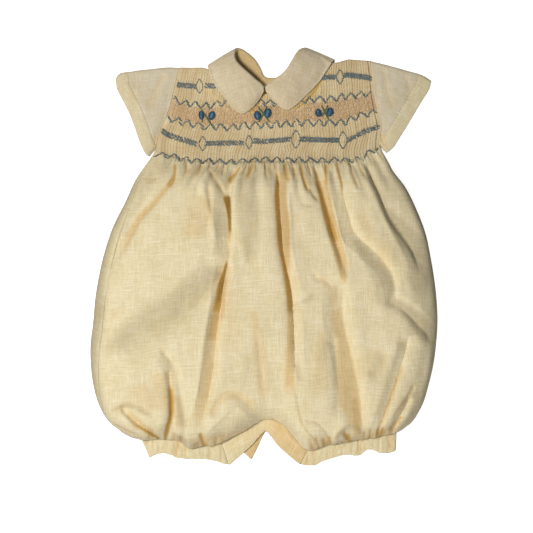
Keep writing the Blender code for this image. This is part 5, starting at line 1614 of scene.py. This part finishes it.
def attribute(tree, name, output="Fac"):
    """A per-point number of the mesh."""
    return added(tree, "ShaderNodeAttribute", attribute_name=name).outputs[output]


def worked(tree, operation, first, second):
    """The sum, product or other result of two values, each a socket or a number."""
    node = added(tree, "ShaderNodeMath", operation=operation)
    for k, value in enumerate((first, second)):
        if isinstance(value, (int, float)):
            node.inputs[k].default_value = value
        else:
            tree.links.new(value, node.inputs[k])
    return node.outputs[0]


def streaks(tree, vector, across, down, detail=2.0, shift=0.0):
    """Noise drawn out to lumps of the size across by down, in metres."""
    scaled = added(
        tree, "ShaderNodeMapping", {"Vector": vector},
        {"Scale": (1 / across, 1 / down, 0.0), "Location": (shift, shift * 0.7, shift)},
    )
    return added(
        tree, "ShaderNodeTexNoise", {"Vector": scaled.outputs[0]}, {"Scale": 1.0, "Detail": detail},
    ).outputs[0]


def ramped(tree, value, low, high, start=0.0, end=1.0):
    """A value that runs from `low` to `high`, brought to run from `start` to `end`."""
    node = added(
        tree, "ShaderNodeMapRange", {"Value": value},
        {"From Min": low, "From Max": high, "To Min": start, "To Max": end},
    )
    return node.outputs[0]


def mixed(tree, share, first, second):
    """A colour between two, each a socket or a colour."""
    node = added(tree, "ShaderNodeMix", data_type="RGBA")
    for socket, value in (("Factor", share), ("A", first), ("B", second)):
        target = [s for s in node.inputs if s.name == socket and s.enabled][0]
        if isinstance(value, (int, float)):
            target.default_value = value
        elif isinstance(value, tuple):
            target.default_value = (*value, 1)
        else:
            tree.links.new(value, target)
    return [s for s in node.outputs if s.enabled][0]


def finish_shader(tree, colour, height, roughness, sheen, distance):
    """A soft, matt surface whose `height` is a bump of `distance` metres."""
    shader = tree.nodes["Principled BSDF"]
    tree.links.new(colour, shader.inputs["Base Color"])
    tree.links.new(roughness, shader.inputs["Roughness"])
    shader.inputs["Specular IOR Level"].default_value = 0.25
    shader.inputs["Sheen Weight"].default_value = sheen
    shader.inputs["Sheen Roughness"].default_value = 0.5
    bump = added(
        tree, "ShaderNodeBump", {"Height": height}, {"Strength": 0.7, "Distance": distance},
    )
    tree.links.new(bump.outputs[0], shader.inputs["Normal"])


def empty_material(name):
    """A new material, and its nodes."""
    made = bpy.data.materials.new(name)
    made.use_nodes = True
    return made, made.node_tree


def linen(name, base, layers_and_shade=(0.72, 0.60, 0.36)):
    """Slubbed linen: `base` in the open, a second colour in two layers and as painted shade between pleats;
    painted golden and grey shade.
    """
    made, tree = empty_material(name)
    cloth = attribute(tree, "cloth", "Vector")
    place = added(tree, "ShaderNodeSeparateXYZ", {"Vector": cloth}).outputs
    weft = streaks(tree, cloth, 0.024, 0.0016)
    warp = streaks(tree, cloth, 0.0015, 0.028, shift=3.1)
    fine_weft = streaks(tree, cloth, 0.008, 0.0009, 1.0, 7.7)
    fine_warp = streaks(tree, cloth, 0.0009, 0.009, 1.0, 5.3)
    patches = streaks(tree, cloth, 0.035, 0.03, 2.0, 9.1)
    slubs = worked(
        tree, "MAXIMUM", ramped(tree, weft, 0.58, 0.74), ramped(tree, warp, 0.60, 0.76),
    )
    thin = worked(tree, "ADD", ramped(tree, fine_weft, 0.3, 0.7, -0.07, 0.07),
                  ramped(tree, fine_warp, 0.3, 0.7, -0.07, 0.07))
    broad = worked(tree, "ADD", ramped(tree, patches, 0.3, 0.7, -0.04, 0.04),
                   worked(tree, "ADD", ramped(tree, warp, 0.3, 0.6, -0.06, 0.03),
                          ramped(tree, weft, 0.3, 0.6, -0.06, 0.03)))
    light = worked(tree, "ADD", worked(tree, "ADD", thin, broad), worked(tree, "MULTIPLY", slubs, 0.14))
    colour = mixed(tree, attribute(tree, "layers_and_shade"), base, layers_and_shade)
    colour = mixed(tree, worked(tree, "MULTIPLY", attribute(tree, "blush"), 0.6), colour, BLUSH)
    # Painted shade: golden on the walls of the folds and deeper golden in them, as the cloth attribute's
    # third value asks
    colour = mixed(tree, ramped(tree, place[2], 0.0, 0.5), colour, WARM_PAINTED_SHADE)
    colour = mixed(tree, ramped(tree, place[2], 0.4, 1.0), colour, DEEP_PAINTED_SHADE)
    tints = added(
        tree, "ShaderNodeVectorMath", {0: light}, {1: (0.5, 0.75, 1.4), 2: (1, 1, 1)},
        operation="MULTIPLY_ADD",
    ).outputs[0]
    colour = added(tree, "ShaderNodeVectorMath", {0: colour, 1: tints}, operation="MULTIPLY").outputs[0]
    # Painted grey shade, as strong as the shade attribute asks
    shaded = added(
        tree, "ShaderNodeVectorMath", {0: colour}, {1: SHADED}, operation="MULTIPLY",
    ).outputs[0]
    colour = mixed(tree, attribute(tree, "shade"), colour, shaded)
    across = worked(tree, "SINE", worked(tree, "MULTIPLY", place[0], 2 * math.pi / WEAVE_STEP), 0.0)
    down = worked(tree, "SINE", worked(tree, "MULTIPLY", place[1], 2 * math.pi / WEAVE_STEP), 0.0)
    weave = worked(tree, "MULTIPLY", worked(tree, "MULTIPLY", across, down), 0.18)
    height = worked(tree, "ADD", weave, worked(tree, "MULTIPLY", slubs, 0.9))
    height = worked(tree, "ADD", height, worked(tree, "MULTIPLY", thin, 9.0))
    rough = ramped(tree, slubs, 0.0, 1.0, 0.9, 0.8)
    finish_shader(tree, colour, height, rough, 0.2, 0.0001)
    return made


def thread(name, dark, light):
    """Stranded cotton with a soft twist: painted shade in its grooves and painted highlight on its ridges,
    and uneven patches.
    """
    made, tree = empty_material(name)
    cloth = attribute(tree, "cloth", "Vector")
    place = added(tree, "ShaderNodeSeparateXYZ", {"Vector": cloth}).outputs
    turn = worked(tree, "MULTIPLY", place[0], 2 * math.pi / TWIST_STEP)
    turn = worked(tree, "ADD", turn, worked(tree, "MULTIPLY", place[1], 4 * math.pi))
    twist = ramped(tree, worked(tree, "SINE", turn, 0.0), -1.0, 1.0)
    coordinates = added(tree, "ShaderNodeTexCoord").outputs["Object"]
    patches = streaks(tree, coordinates, 0.006, 0.006)
    uneven = ramped(tree, patches, 0.35, 0.65, 0.0, 0.55)
    # Painted shade and highlight along the twist, between the dark and the light colour, and patches that
    # differ at random
    share = worked(tree, "ADD", worked(tree, "MULTIPLY", twist, 0.45), uneven)
    colour = mixed(tree, share, dark, light)
    finish_shader(tree, colour, twist, ramped(tree, twist, 0, 1, 0.62, 0.5), 0.3, 0.00012)
    return made


def floor_material():
    """A white ground that shows only faint shadows."""
    made, tree = empty_material("white_floor")
    shader = tree.nodes["Principled BSDF"]
    grain = streaks(tree, added(tree, "ShaderNodeTexCoord").outputs["Object"], 0.1, 0.1)
    tree.links.new(mixed(tree, grain, (0.9, 0.9, 0.9), (0.93, 0.93, 0.93)), shader.inputs["Base Color"])
    shader.inputs["Roughness"].default_value = 0.9
    shader.inputs["Emission Color"].default_value = (1, 1, 1, 1)
    shader.inputs["Emission Strength"].default_value = 0.85
    return made


# ---------------------------------------------------------------- the scene

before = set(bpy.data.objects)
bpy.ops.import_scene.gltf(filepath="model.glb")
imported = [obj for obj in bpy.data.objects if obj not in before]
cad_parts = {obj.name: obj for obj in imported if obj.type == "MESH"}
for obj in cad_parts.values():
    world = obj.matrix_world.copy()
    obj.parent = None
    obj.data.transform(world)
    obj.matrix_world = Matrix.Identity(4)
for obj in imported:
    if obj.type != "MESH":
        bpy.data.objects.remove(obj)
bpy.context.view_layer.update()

LINEN = linen("slubbed_linen", (0.80, 0.70, 0.44))
# The front's darker second colour is painted shade in the pleats' valleys and over the smocked bodice
SMOCKED = linen("slubbed_smocked_linen", (0.79, 0.68, 0.43), layers_and_shade=(0.50, 0.355, 0.18))
# The sleeves and the collar take darker copies of the linen: painted shade for the dimmer light over the top
SLEEVE_LINEN_PAINTED_SHADE = linen("slubbed_sleeve_linen_painted_shade", (0.63, 0.55, 0.39), layers_and_shade=(0.69, 0.595, 0.38))
COLLAR_LINEN_PAINTED_SHADE = linen("slubbed_collar_linen_painted_shade", (0.63, 0.53, 0.36), layers_and_shade=(0.64, 0.535, 0.355))
SLATE_THREAD = thread("slate_blue_thread", (0.06, 0.09, 0.10), (0.25, 0.295, 0.295))
BLUE_THREAD = thread("blue_thread", (0.007, 0.035, 0.075), (0.025, 0.095, 0.17))
# The buds' middle knots: a paler thread, which also stands for a painted highlight on each bud
PALE_THREAD_AND_HIGHLIGHT = thread("pale_blue_thread_and_painted_highlight", (0.015, 0.07, 0.14), (0.13, 0.27, 0.37))
GREEN_THREAD = thread("green_thread", (0.035, 0.085, 0.022), (0.10, 0.20, 0.06))
PEACH_THREAD = thread("peach_thread", (0.50, 0.32, 0.14), (0.72, 0.53, 0.30))
SEWING_THREAD = thread("sewing_thread", (0.55, 0.42, 0.20), (0.80, 0.68, 0.42))

front = front_panel()
back = back_body()
bodices = [
    back_bodice("left", 0.0, BACK_SHARE - OPENING),
    back_bodice("right", BACK_SHARE + OPENING, 1.0),
]
sleeves, sleeve_seams = zip(
    sleeve("left", ARMHOLE_LEFT, SLEEVE_LEFT_TOP, SLEEVE_LEFT_HEM, -1),
    sleeve("right", ARMHOLE_RIGHT, SLEEVE_RIGHT_TOP, SLEEVE_RIGHT_HEM, 1),
)
collars, collar_seams = zip(
    collar_half("left", COLLAR_LEFT, False, 61),
    collar_half("right", COLLAR_RIGHT, True, 67),
)
bands = [
    leg_band("left", LEG_LEFT, LEG_LEFT_LOWER, 71),
    leg_band("right", LEG_RIGHT, LEG_RIGHT_LOWER, 75),
]
crotch, crotch_seams = zip(
    crotch_band("front", *CROTCH, CROTCH_FRONT_LOWER, CROTCH_HEIGHT),
    crotch_band("back", CROTCH[0] + BACK_BAND_IN, CROTCH[1], CROTCH_BACK_LOWER, WALL / 2),
)
seams = [*sleeve_seams, *collar_seams, *crotch_seams]
sewing = thread_piece("sewing_stitches", [stitch for seam in seams for stitch in seam], SEWING_THREAD)
embroidery()

FLOOR_REACH, FLOOR_TOP = 14.0, -0.0003          # of the white ground, in metres
corners = [(FLOOR_REACH * x, FLOOR_REACH * y, FLOOR_TOP) for x, y in ((-1, -1), (1, -1), (1, 1), (-1, 1))]
ground = bpy.data.meshes.new("ground")
ground.from_pydata(corners, [], [(0, 1, 2, 3)])
ground.materials.append(floor_material())
floor = bpy.data.objects.new("floor", ground)
bpy.context.scene.collection.objects.link(floor)
floor.visible_diffuse = False


def area_light(name, place, size, power, colour):
    """A square lamp that faces the origin."""
    data = bpy.data.lights.new(name, "AREA")
    data.shape = "SQUARE"
    data.size = size
    data.energy = power
    data.color = colour
    lamp = bpy.data.objects.new(name, data)
    lamp.location = place
    lamp.rotation_euler = (-lamp.location).to_track_quat("-Z", "Y").to_euler()
    bpy.context.scene.collection.objects.link(lamp)


area_light("key", place=(-1.0, 0.15, 1.75), size=0.5, power=31.5, colour=(1.0, 0.985, 0.96))
area_light("fill", place=(0.3, -1.85, 1.0), size=1.2, power=15.0, colour=(1.0, 0.99, 0.97))
world = bpy.data.worlds.new("white_room")
world.use_nodes = True
background = world.node_tree.nodes["Background"]
background.inputs["Color"].default_value = (1, 1, 1, 1)
background.inputs["Strength"].default_value = 0.12
bpy.context.scene.world = world

camera_data = bpy.data.cameras.new("camera")
camera_data.sensor_width = 36.0
camera_data.lens = 141.9
camera_data.clip_end = 20.0
camera = bpy.data.objects.new("camera", camera_data)
camera.location = (0.0027, -0.0107, 2.2)
bpy.context.scene.collection.objects.link(camera)
bpy.context.scene.camera = camera
bpy.context.scene.view_settings.view_transform = "Standard"
